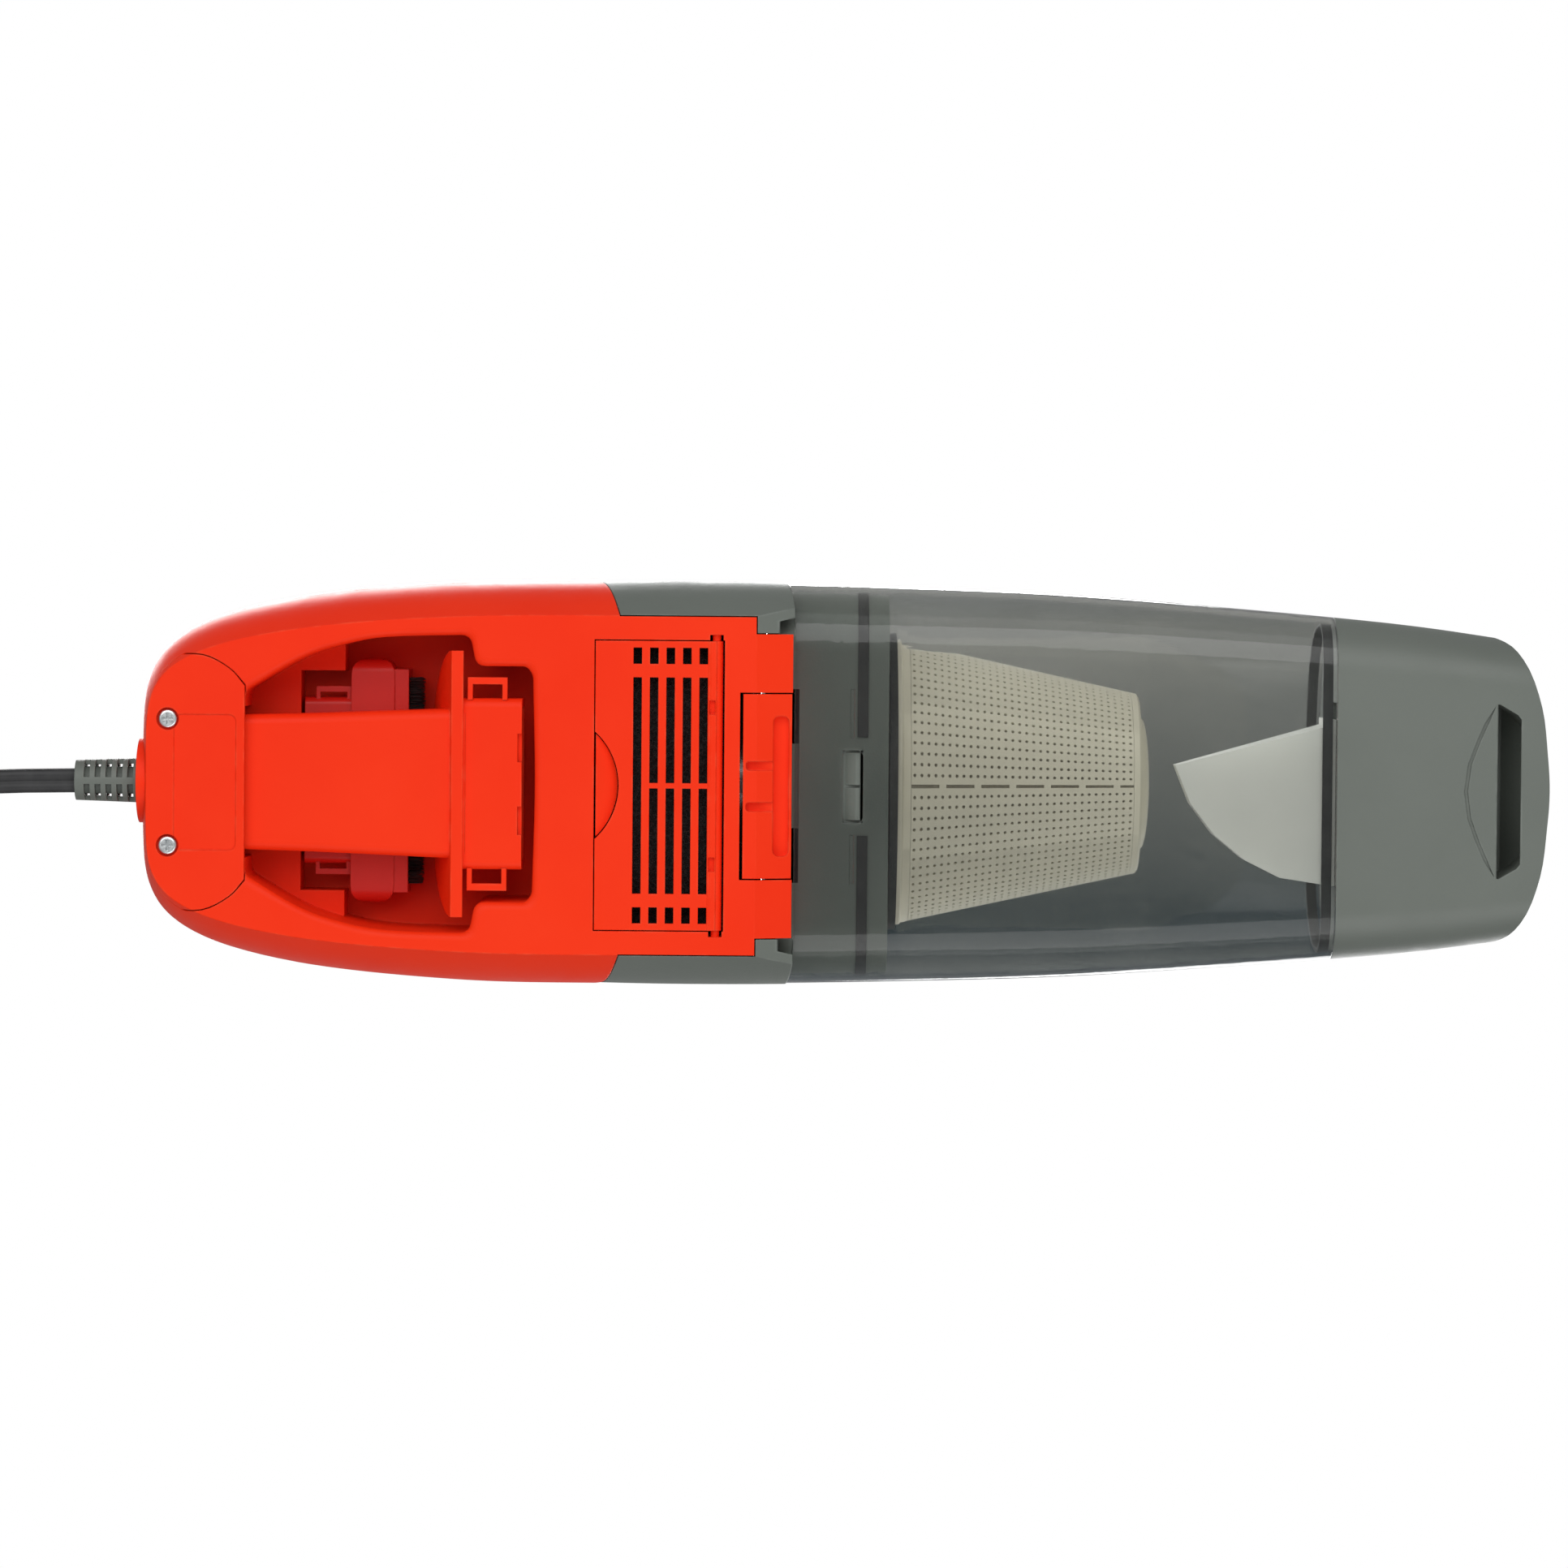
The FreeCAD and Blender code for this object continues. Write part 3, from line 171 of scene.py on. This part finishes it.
def cord_mesh(path, control_count, coil_count):
    """Tube with the twin section along the route, closed at both ends."""
    outline = twin_outline()
    vertices, faces = [], []
    last = len(path) - 1
    for k, centre in enumerate(path):
        along = (path[min(k + 1, last)] - path[max(k - 1, 0)]).normalized()
        side = along.cross(Vector((0, 0, 1))).normalized()
        up = side.cross(along)
        share = k / last * (control_count - 1)
        roll = roll_at(share, len(LEAD_ROUTE), len(LEAD_ROUTE) + coil_count)
        wide = side * math.cos(roll) + up * math.sin(roll)
        thin = up * math.cos(roll) - side * math.sin(roll)
        vertices += [centre + wide * x + thin * y for x, y in outline]
    n = len(outline)
    for k in range(last):
        for q in range(n):
            r = (q + 1) % n
            faces.append((k * n + q, k * n + r, (k + 1) * n + r, (k + 1) * n + q))
    faces.append(tuple(reversed(range(n))))
    faces.append(tuple(range(last * n, len(path) * n)))
    mesh = bpy.data.meshes.new("power_cord")
    mesh.from_pydata(vertices, [], faces)
    mesh.shade_smooth()
    return mesh


def add_cord():
    coil = coil_points()
    tail = [on_coil(*p) for p in TAIL_ROUTE]
    controls = LEAD_ROUTE + coil + tail + [PLUG_START]
    path = cord_route(controls)
    cord = add_object("power_cord", cord_mesh(path, len(controls), len(coil)))
    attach(cord, "root")
    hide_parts("cord", "cord_coil", "cord_end")
    return cord


cord = add_cord()


# ---- Material tools ----
def mix_colours(tree, share, a, b):
    """Colour a where the share is 0, b where it is 1."""
    node = tree.nodes.new("ShaderNodeMix")
    node.data_type = "RGBA"
    tree.links.new(share, node.inputs[0])
    for socket, value in ((node.inputs[6], a), (node.inputs[7], b)):
        if isinstance(value, tuple):
            socket.default_value = (*value, 1)
        else:
            tree.links.new(value, socket)
    return node.outputs[2]


class Shader:
    """A new material with short ways to add and link its nodes."""

    def __init__(self, name):
        self.material = bpy.data.materials.new(name)
        self.material.use_nodes = True
        self.tree = self.material.node_tree
        self.surface = self.tree.nodes["Principled BSDF"]
        self.coords = self.add("ShaderNodeTexCoord").outputs["Object"]

    def add(self, kind, **values):
        node = self.tree.nodes.new(kind)
        for key, value in values.items():
            setattr(node, key, value)
        return node

    def link(self, output, target):
        self.tree.links.new(output, target)

    def mapped(self, scale):
        node = self.add("ShaderNodeMapping")
        node.inputs["Scale"].default_value = scale
        self.link(self.coords, node.inputs["Vector"])
        return node.outputs["Vector"]

    def noise(self, scale, detail=4.0, roughness=0.55, vector=None, distortion=0.0):
        node = self.add("ShaderNodeTexNoise")
        node.inputs["Scale"].default_value = scale
        node.inputs["Detail"].default_value = detail
        node.inputs["Roughness"].default_value = roughness
        node.inputs["Distortion"].default_value = distortion
        self.link(vector or self.coords, node.inputs["Vector"])
        return node.outputs["Fac"]

    def cells(self, scale):
        node = self.add("ShaderNodeTexVoronoi")
        node.inputs["Scale"].default_value = scale
        self.link(self.coords, node.inputs["Vector"])
        return node.outputs["Distance"]

    def spread(self, value, low, high, out_low=0.0, out_high=1.0):
        node = self.add("ShaderNodeMapRange")
        limits = {"From Min": low, "From Max": high, "To Min": out_low, "To Max": out_high}
        for name, number in limits.items():
            node.inputs[name].default_value = number
        self.link(value, node.inputs["Value"])
        return node.outputs["Result"]

    def blend(self, share, a, b):
        return mix_colours(self.tree, share, a, b)

    def math(self, operation, a, b):
        node = self.add("ShaderNodeMath", operation=operation)
        for socket, value in zip(node.inputs, (a, b)):
            if isinstance(value, float):
                socket.default_value = value
            else:
                self.link(value, socket)
        return node.outputs[0]

    def rounded_edges(self, radius):
        node = self.add("ShaderNodeBevel", samples=4)
        node.inputs["Radius"].default_value = radius
        return node.outputs["Normal"]

    def bump(self, height, distance, strength=1.0, normal=None):
        node = self.add("ShaderNodeBump")
        node.inputs["Distance"].default_value = distance
        node.inputs["Strength"].default_value = strength
        self.link(height, node.inputs["Height"])
        if normal is not None:
            self.link(normal, node.inputs["Normal"])
        return node.outputs["Normal"]

    def edge_wear(self, radius):
        """Near 1 along sharp edges and 0 on flat stretches."""
        geometry = self.add("ShaderNodeNewGeometry")
        dot = self.add("ShaderNodeVectorMath", operation="DOT_PRODUCT")
        self.link(self.rounded_edges(radius), dot.inputs[0])
        self.link(geometry.outputs["Normal"], dot.inputs[1])
        return self.spread(dot.outputs["Value"], 0.998, 0.90)

    def scratches(self, scale, direction):
        """Sparse fine hairlines along one direction."""
        hair = self.noise(scale, 2.0, 0.5, self.mapped(direction), 0.4)
        patch = self.noise(scale * 0.12, 2.0)
        line = self.spread(hair, 0.655, 0.70)
        return self.math("MULTIPLY", line, self.spread(patch, 0.5, 0.65))

    def output_mix(self, share, other):
        """The surface where the share is 0, the other shader where it is 1."""
        mix = self.add("ShaderNodeMixShader")
        self.link(share, mix.inputs[0])
        self.link(self.surface.outputs[0], mix.inputs[1])
        self.link(other.outputs[0], mix.inputs[2])
        self.link(mix.outputs[0], self.tree.nodes["Material Output"].inputs["Surface"])

    def set(self, **values):
        for key, value in values.items():
            socket = self.surface.inputs[key.replace("_", " ")]
            if isinstance(value, float):
                socket.default_value = value
            else:
                self.link(value, socket)
        return self.material


def plastic(name, colour, deep, worn, rough, grain_scale, grain_depth,
            edge=0.0005, specular=0.5, scuff=0.35):
    """Moulded plastic: flow mottle, spark-eroded grain, handling marks, rounded and rubbed edges."""
    s = Shader(name)
    flow = s.spread(s.noise(9.0, 5.0, 0.6), 0.35, 0.68)
    tint = s.blend(flow, deep, colour)
    specks = s.spread(s.cells(900.0), 0.05, 0.12)
    tint = s.blend(s.math("MULTIPLY", s.math("SUBTRACT", 1.0, specks), 0.16), tint, deep)
    wear = s.math("MULTIPLY", s.edge_wear(edge * 1.6), s.spread(s.noise(160.0, 3.0), 0.42, 0.66))
    tint = s.blend(s.math("MULTIPLY", wear, 0.55), tint, worn)
    marks = s.math("MAXIMUM", s.scratches(420.0, (1.0, 7.0, 1.0)), s.scratches(380.0, (6.0, 1.0, 2.0)))
    smudge = s.noise(34.0, 4.0, 0.6, distortion=0.6)
    gloss = s.spread(smudge, 0.35, 0.7, rough - 0.045, rough + 0.075)
    roughness = s.math("ADD", gloss, s.math("MULTIPLY", marks, scuff * 0.3))
    normal = s.bump(s.noise(grain_scale, 3.0, 0.6), grain_depth, 1.0, s.rounded_edges(edge))
    normal = s.bump(s.noise(55.0, 2.0), 0.00006, 0.6, normal)
    normal = s.bump(s.math("MULTIPLY", marks, -1.0), 0.00001, 0.6, normal)
    return s.set(Base_Color=tint, Roughness=roughness, Normal=normal, Specular_IOR_Level=specular)


def smoked_plastic():
    """Glossy see-through bowl with faint flow lines and hairline scratches; lamps shine through it."""
    s = Shader("smoked_bowl")
    flow = s.spread(s.noise(14.0, 4.0, 0.55), 0.3, 0.7)
    tint = s.blend(flow, (0.74, 0.755, 0.75), (0.80, 0.81, 0.80))
    marks = s.math("MAXIMUM", s.scratches(520.0, (1.0, 9.0, 1.0)), s.scratches(430.0, (8.0, 1.0, 3.0)))
    gloss = s.spread(s.noise(40.0, 3.0), 0.3, 0.7, 0.035, 0.075)
    roughness = s.math("ADD", gloss, s.math("MULTIPLY", marks, 0.10))
    normal = s.bump(s.noise(26.0, 2.0, 0.4), 0.00025, 0.25, s.rounded_edges(0.0006))
    s.set(Base_Color=tint, Roughness=roughness, Normal=normal, Transmission_Weight=1.0, IOR=1.40)
    lamp_side = s.add("ShaderNodeBsdfTransparent")
    s.link(tint, lamp_side.inputs["Color"])
    s.output_mix(s.add("ShaderNodeLightPath").outputs["Is Shadow Ray"], lamp_side)
    return s.material


def metal(name, colour, dull, rough, brushed):
    s = Shader(name)
    grain = s.noise(900.0, 3.0, 0.6, s.mapped(brushed))
    tint = s.blend(s.spread(s.noise(300.0, 4.0), 0.35, 0.7), dull, colour)
    roughness = s.spread(grain, 0.3, 0.7, rough - 0.08, rough + 0.12)
    normal = s.bump(grain, 0.00003, 0.8, s.rounded_edges(0.00015))
    return s.set(Base_Color=tint, Roughness=roughness, Normal=normal, Metallic=1.0)


def rubber(name, colour, light):
    s = Shader(name)
    tint = s.blend(s.spread(s.noise(120.0, 5.0), 0.35, 0.7), colour, light)
    roughness = s.spread(s.noise(60.0, 4.0), 0.3, 0.7, 0.48, 0.66)
    normal = s.bump(s.noise(1600.0, 2.0), 0.00004, 0.8, s.rounded_edges(0.0003))
    return s.set(Base_Color=tint, Roughness=roughness, Normal=normal)


def foam():
    """Open-cell foam: pores at two sizes, each pore's pit painted darker as painted shade."""
    s = Shader("open_cell_foam")
    pores = s.spread(s.cells(900.0), 0.1, 0.6)
    fine = s.spread(s.cells(2300.0), 0.1, 0.6)
    # Darkest where both pore sizes sink in: painted shade in the pits.
    tint = s.blend(s.math("MULTIPLY", pores, fine), (0.003, 0.003, 0.003), (0.030, 0.029, 0.028))
    normal = s.bump(fine, 0.0003, 1.0, s.bump(pores, 0.0008))
    return s.set(Base_Color=tint, Roughness=s.spread(pores, 0, 1, 0.85, 0.97), Normal=normal)


def pleated_cloth():
    s = Shader("filter_cloth")
    fibres = s.noise(1400.0, 4.0, 0.7, s.mapped((0.25, 1, 1)))
    dust = s.spread(s.noise(70.0, 5.0, 0.65), 0.45, 0.75)
    tint = s.blend(dust, (0.80, 0.79, 0.74), (0.52, 0.50, 0.45))
    normal = s.bump(fibres, 0.0002, 0.9)
    return s.set(Base_Color=tint, Roughness=s.spread(fibres, 0.3, 0.7, 0.8, 0.95), Normal=normal)


def nylon():
    s = Shader("black_nylon")
    along = s.noise(500.0, 3.0, 0.6, s.mapped((0.3, 1, 1)))
    tint = s.blend(s.spread(along, 0.35, 0.65), (0.008, 0.008, 0.009), (0.045, 0.043, 0.042))
    normal = s.bump(along, 0.00003, 0.6)
    return s.set(Base_Color=tint, Roughness=s.spread(along, 0.3, 0.7, 0.28, 0.5), Normal=normal)


MATERIALS = {
    "orange_plastic": plastic("orange_plastic", (0.95, 0.040, 0.007), (0.90, 0.030, 0.005),
                              (0.97, 0.12, 0.05), 0.42, 2600.0, 0.000016, specular=0.11),
    "red_plastic": plastic("red_plastic", (0.70, 0.024, 0.014), (0.64, 0.018, 0.011),
                           (0.82, 0.10, 0.07), 0.34, 2600.0, 0.000014, specular=0.35),
    "grey_plastic": plastic("grey_plastic", (0.142, 0.158, 0.138), (0.124, 0.139, 0.121),
                            (0.24, 0.26, 0.235), 0.46, 1500.0, 0.000045, scuff=0.5),
    "cream_plastic": plastic("cream_plastic", (0.80, 0.74, 0.60), (0.74, 0.68, 0.54),
                             (0.86, 0.81, 0.68), 0.50, 1800.0, 0.00003, 0.0003),
    "off_white_plastic": plastic("off_white_plastic", (0.86, 0.85, 0.80), (0.80, 0.79, 0.73),
                                 (0.90, 0.89, 0.85), 0.40, 2200.0, 0.00002, 0.0004),
    "dark_plastic": plastic("dark_plastic", (0.026, 0.026, 0.027), (0.018, 0.018, 0.019),
                            (0.09, 0.09, 0.09), 0.42, 1500.0, 0.00004, scuff=0.5),
    "smoked_clear": smoked_plastic(),
    "black_rubber": rubber("black_rubber", (0.014, 0.014, 0.014), (0.032, 0.031, 0.030)),
    "cord_black": rubber("cord_black", (0.016, 0.016, 0.017), (0.036, 0.036, 0.037)),
    "foam": foam(),
    "bristle": nylon(),
    "filter_paper": pleated_cloth(),
    "steel": metal("bright_steel", (0.66, 0.66, 0.66), (0.50, 0.50, 0.51), 0.28, (0.1, 1, 1)),
    "zinc": metal("zinc_plate", (0.74, 0.76, 0.76), (0.58, 0.61, 0.62), 0.30, (1, 1, 1)),
    "brass": metal("brass", (0.76, 0.58, 0.27), (0.58, 0.42, 0.18), 0.30, (1, 0.2, 1)),
}


def dress_cad_nodes():
    """Every CAD node that stays visible takes its slot's finish."""
    for name, node in NODES.items():
        node.data.materials.clear()
        node.data.materials.append(MATERIALS[SLOTS[name]])


dress_cad_nodes()
cord.data.materials.append(MATERIALS["cord_black"])


# ---- Mesh pieces ----
def add_piece(name, body, slot, replaced, vertices, faces, inner=None):
    """A piece in its slot's finish, with an optional second material for its hollows."""
    mesh = bpy.data.meshes.new(name)
    mesh.from_pydata([tuple(v) for v in vertices], [], faces)
    mesh.update()
    mesh.validate()
    mesh.materials.append(MATERIALS[slot])
    if inner is not None:
        mesh.materials.append(inner)
    piece = add_object(name, mesh)
    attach(piece, body)
    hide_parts(replaced)
    return piece


TUFT_START = 0.0134                # from the brush's middle to each tuft
TUFT_WIDTH = 0.0162
TUFT_ROWS_Y = 30
TUFT_ROWS_Z = 13
HAIR_HALF = 0.00013
HAIR_REACH = (0.80, 0.97)          # shortest and longest hair as shares of the brush's depth
HAIR_LEAN = 0.0004
HAIR_ROOT = 0.0006                 # length that sits in the brush head
HAIR_RINGS = ((0.0, 1.0), (0.6, 0.9), (1.0, 0.35))    # share of the length, share of the width


def add_bristles():
    """Two tufts of tapered nylon hairs, a little splayed."""
    rng = random.Random(11)
    low, high = (Vector(v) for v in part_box("brush_bristles"))
    vertices, faces = [], []
    for side in (-1, 1):
        for j in range(TUFT_ROWS_Y):
            for k in range(TUFT_ROWS_Z):
                y = side * (TUFT_START + TUFT_WIDTH * (j + rng.uniform(0.2, 0.8)) / TUFT_ROWS_Y)
                z = low.z + (high.z - low.z) * (k + rng.uniform(0.2, 0.8)) / TUFT_ROWS_Z
                reach = (high.x - low.x) * rng.uniform(*HAIR_REACH)
                lean = rng.uniform(-HAIR_LEAN, HAIR_LEAN)
                base = len(vertices)
                for t, taper in HAIR_RINGS:
                    x = low.x - HAIR_ROOT * (t == 0) + reach * t
                    centre = Vector((x, y + lean * t * t, z + lean * 0.6 * t))
                    for dy, dz in ((1, 0), (0, 1), (-1, 0), (0, -1)):
                        vertices.append(centre + Vector((0, dy, dz)) * HAIR_HALF * taper)
                for ring in (0, 4):
                    for q in range(4):
                        a, b = base + ring + q, base + ring + (q + 1) % 4
                        faces.append((a, b, b + 4, a + 4))
                faces.append(tuple(base + 8 + q for q in range(4)))
    add_piece("bristle_tufts", "brush", "bristle", "brush_bristles", vertices, faces)


add_bristles()


FILTER_AXIS_Z = 0.051
CONE_START = (0.0170, 0.0410)      # x and radius
CONE_END = (0.0860, 0.0260)
HOLE_MARGIN = 0.0024               # plain length at each end of the cone
FILTER_ROWS = 32
FILTER_COLUMNS = 80
HOLE_LONG = 0.21                   # half-length and half-width of a hole as shares of its cell
HOLE_WIDE = 0.165
HOLE_CORNER = 0.72                 # pulls a hole's corners in
HOLE_DEPTH = 0.0008
DASH_LONG = 0.499                  # the lowest column's holes run together into dashes
DASH_EVERY = 5
RIM = [(0.0136, 0.0370), (0.0134, 0.0426), (0.0136, 0.0430), (0.0167, 0.0430), (0.0170, 0.0427),
       (0.0171, 0.0413)]
NOSE_RIM = [(CONE_END[0], 0.0252), (CONE_END[0] + 0.0002, 0.0200)]
NOSE_RADIUS = 0.0190
NOSE_SETBACK = 0.0010
NOSE_RISE = 0.0022
NOSE_STEPS = 6
SHARP_ANGLE = math.radians(30)


def cone_radius(x):
    t = (x - CONE_START[0]) / (CONE_END[0] - CONE_START[0])
    return CONE_START[1] + t * (CONE_END[1] - CONE_START[1])


def round_axis(x, radius, angle):
    return Vector((x, radius * math.cos(angle), FILTER_AXIS_Z + radius * math.sin(angle)))


def nose_profile(last_x):
    """From the cone's last row over its front edge to a shallow dome."""
    edge = CONE_END[0] - 0.0006
    profile = [(last_x, cone_radius(last_x)), (edge, cone_radius(edge))] + NOSE_RIM
    profile.append((CONE_END[0] + NOSE_SETBACK, NOSE_RADIUS))
    for step in range(1, NOSE_STEPS + 1):
        a = step / NOSE_STEPS * math.pi / 2
        x = CONE_END[0] + NOSE_SETBACK + NOSE_RISE * math.sin(a)
        profile.append((x, NOSE_RADIUS * math.cos(a) + 0.00002))
    return profile


def add_filter_cage():
    """Perforated cone: rows of small shallow dimples whose floors are painted darker as the shade inside
    a hole, a rim behind and a domed nose.
    """
    vertices, faces, floors, corners = [], [], [], {}
    first_x = CONE_START[0] + HOLE_MARGIN
    last_x = CONE_END[0] - HOLE_MARGIN
    step_x = (CONE_END[0] - CONE_START[0] - 2 * HOLE_MARGIN) / FILTER_ROWS
    step_a = 2 * math.pi / FILTER_COLUMNS

    def column_angle(half_columns):
        return step_a * (half_columns / 2 - 0.5) - math.pi / 2

    def on_cone(x, angle, sink=0.0):
        vertices.append(round_axis(x, cone_radius(x) - sink, angle))
        return len(vertices) - 1

    def corner(i, j):
        key = (i, j % (2 * FILTER_COLUMNS))
        if key not in corners:
            corners[key] = on_cone(first_x + step_x * i / 2, column_angle(j))
        return corners[key]

    ring = ((0, 0), (1, 0), (2, 0), (2, 1), (2, 2), (1, 2), (0, 2), (0, 1))
    for i in range(FILTER_ROWS):
        for j in range(FILTER_COLUMNS):
            outer = [corner(2 * i + di, 2 * j + dj) for di, dj in ring]
            dash = j == 0
            if dash and i % DASH_EVERY == DASH_EVERY - 1:
                faces.append(tuple(outer))
                continue
            x_mid = first_x + step_x * (i + 0.5)
            a_mid = step_a * j - math.pi / 2
            half_x = step_x * (DASH_LONG if dash else HOLE_LONG)
            half_a = step_a * HOLE_WIDE
            inner, floor = [], []
            for di, dj in ring:
                pull = HOLE_CORNER if di != 1 and dj != 1 and not dash else 1.0
                x, a = x_mid + (di - 1) * half_x * pull, a_mid + (dj - 1) * half_a * pull
                inner.append(on_cone(x, a))
                floor.append(on_cone(x, a, HOLE_DEPTH))
            for q in range(8):
                n = (q + 1) % 8
                faces.append((outer[q], outer[n], inner[n], inner[q]))
                faces.append((inner[q], inner[n], floor[n], floor[q]))
            floors.append(len(faces))
            faces.append(tuple(floor))

    def revolve(profile):
        count = 2 * FILTER_COLUMNS
        rings = []
        for x, r in profile:
            rings.append(range(len(vertices), len(vertices) + count))
            vertices.extend(round_axis(x, r, column_angle(j)) for j in range(count))
        for one, two in zip(rings, rings[1:]):
            for j in range(count):
                n = (j + 1) % count
                faces.append((one[j], one[n], two[n], two[j]))
        return rings[-1]

    revolve(RIM + [(first_x, cone_radius(first_x))])
    faces.append(tuple(reversed(revolve(nose_profile(last_x)))))
    # The dimple floors take a darker cream: painted shade standing in for the depth of a through-hole.
    hole_shade = plastic("filter_hole_painted_shade", (0.40, 0.37, 0.30), (0.34, 0.31, 0.25), (0.46, 0.42, 0.35),
                   0.6, 1800.0, 0.00003)
    piece = add_piece("perforated_cage", "filter", "cream_plastic", "filter_cage", vertices, faces, hole_shade)
    for index in floors:
        piece.data.polygons[index].material_index = 1
    piece.data.shade_smooth()
    piece.data.set_sharp_from_angle(angle=SHARP_ANGLE)


add_filter_cage()


# ---- Floor, light and world ----
FLOOR_HALF = 6.0
FLOOR_Z = -0.0002
FLOOR_FADE = (0.35, 1.1)           # distances at which the floor starts to fade and is gone
BACKDROP = (1.0, 1.0, 1.0)
SKY = (0.36, 0.365, 0.37)
BOWL_BRIGHT = (0.27, 0.27, 0.25)   # what stands behind the smoked bowl, from one side to the other
BOWL_DIM = (0.026, 0.042, 0.050)
BOWL_SLOPE = (-0.01, 0.08)         # Y of the view direction where it starts to dim and is dim
LAMPS = (
    # name, place, point that it faces, width and height, watts
    ("soft_below", (-0.20, -0.85, -1.25), (0.0, 0.0, 0.03), (2.0, 1.3), 16.0),
    ("fill_below", (0.3, 1.0, -1.0), (0.0, 0.0, 0.03), (1.6, 1.2), 9.0),
    ("key_above", (-0.35, -0.35, 1.6), (0.0, 0.0, 0.05), (0.9, 0.9), 22.0),
    ("fill_above", (0.6, 0.6, 1.3), (0.0, 0.0, 0.05), (0.9, 0.9), 7.0),
)


def add_floor():
    """Pale floor that fades out with distance and is seen from above only."""
    s = Shader("pale_floor")
    tint = s.blend(s.spread(s.noise(3.0, 5.0), 0.3, 0.7), (0.80, 0.80, 0.79), (0.84, 0.84, 0.83))
    s.set(Base_Color=tint, Roughness=0.6)
    facing = s.add("ShaderNodeNewGeometry")
    distance = s.add("ShaderNodeVectorMath", operation="LENGTH")
    s.link(s.coords, distance.inputs[0])
    faded = s.spread(distance.outputs["Value"], *FLOOR_FADE)
    unseen = s.math("MAXIMUM", facing.outputs["Backfacing"], faded)
    s.output_mix(unseen, s.add("ShaderNodeBsdfTransparent"))
    mesh = bpy.data.meshes.new("floor")
    corners = [(x * FLOOR_HALF, y * FLOOR_HALF, 0) for x, y in ((-1, -1), (1, -1), (1, 1), (-1, 1))]
    mesh.from_pydata(corners, [], [(0, 1, 2, 3)])
    mesh.materials.append(s.material)
    floor = add_object("floor", mesh)
    floor.location.z = FLOOR_Z
    floor.visible_shadow = False
    floor.visible_diffuse = False
    floor.visible_glossy = False


def add_lamp(name, location, target, size, power):
    """Soft box that the camera does not see, not even through the bowl."""
    data = bpy.data.lights.new(name, "AREA")
    data.shape = "RECTANGLE"
    data.size, data.size_y = size
    data.energy = power
    lamp = add_object(name, data)
    lamp.location = location
    lamp.rotation_euler = (Vector(target) - Vector(location)).to_track_quat("-Z", "Y").to_euler()
    lamp.visible_camera = False
    lamp.visible_transmission = False


def bowl_light(tree):
    """Light that the smoked bowl is seen against: brighter on one side and dim on the other."""
    direction = tree.nodes.new("ShaderNodeSeparateXYZ")
    tree.links.new(tree.nodes.new("ShaderNodeTexCoord").outputs["Generated"], direction.inputs[0])
    side = tree.nodes.new("ShaderNodeMapRange")
    side.inputs["From Min"].default_value, side.inputs["From Max"].default_value = BOWL_SLOPE
    tree.links.new(direction.outputs["Y"], side.inputs["Value"])
    return mix_colours(tree, side.outputs["Result"], BOWL_BRIGHT, BOWL_DIM)


def add_world():
    """White behind the object; softer light on it; dim where it is seen through the smoked bowl."""
    world = bpy.data.worlds.new("studio")
    bpy.context.scene.world = world
    world.use_nodes = True
    tree = world.node_tree
    path = tree.nodes.new("ShaderNodeLightPath")
    seen = mix_colours(tree, path.outputs["Is Camera Ray"], SKY, BACKDROP)
    through = mix_colours(tree, path.outputs["Is Transmission Ray"], seen, bowl_light(tree))
    tree.links.new(through, tree.nodes["Background"].inputs["Color"])


add_floor()
add_world()
for lamp in LAMPS:
    add_lamp(*lamp)
bpy.context.scene.view_settings.view_transform = "Standard"

bpy.context.view_layer.update()
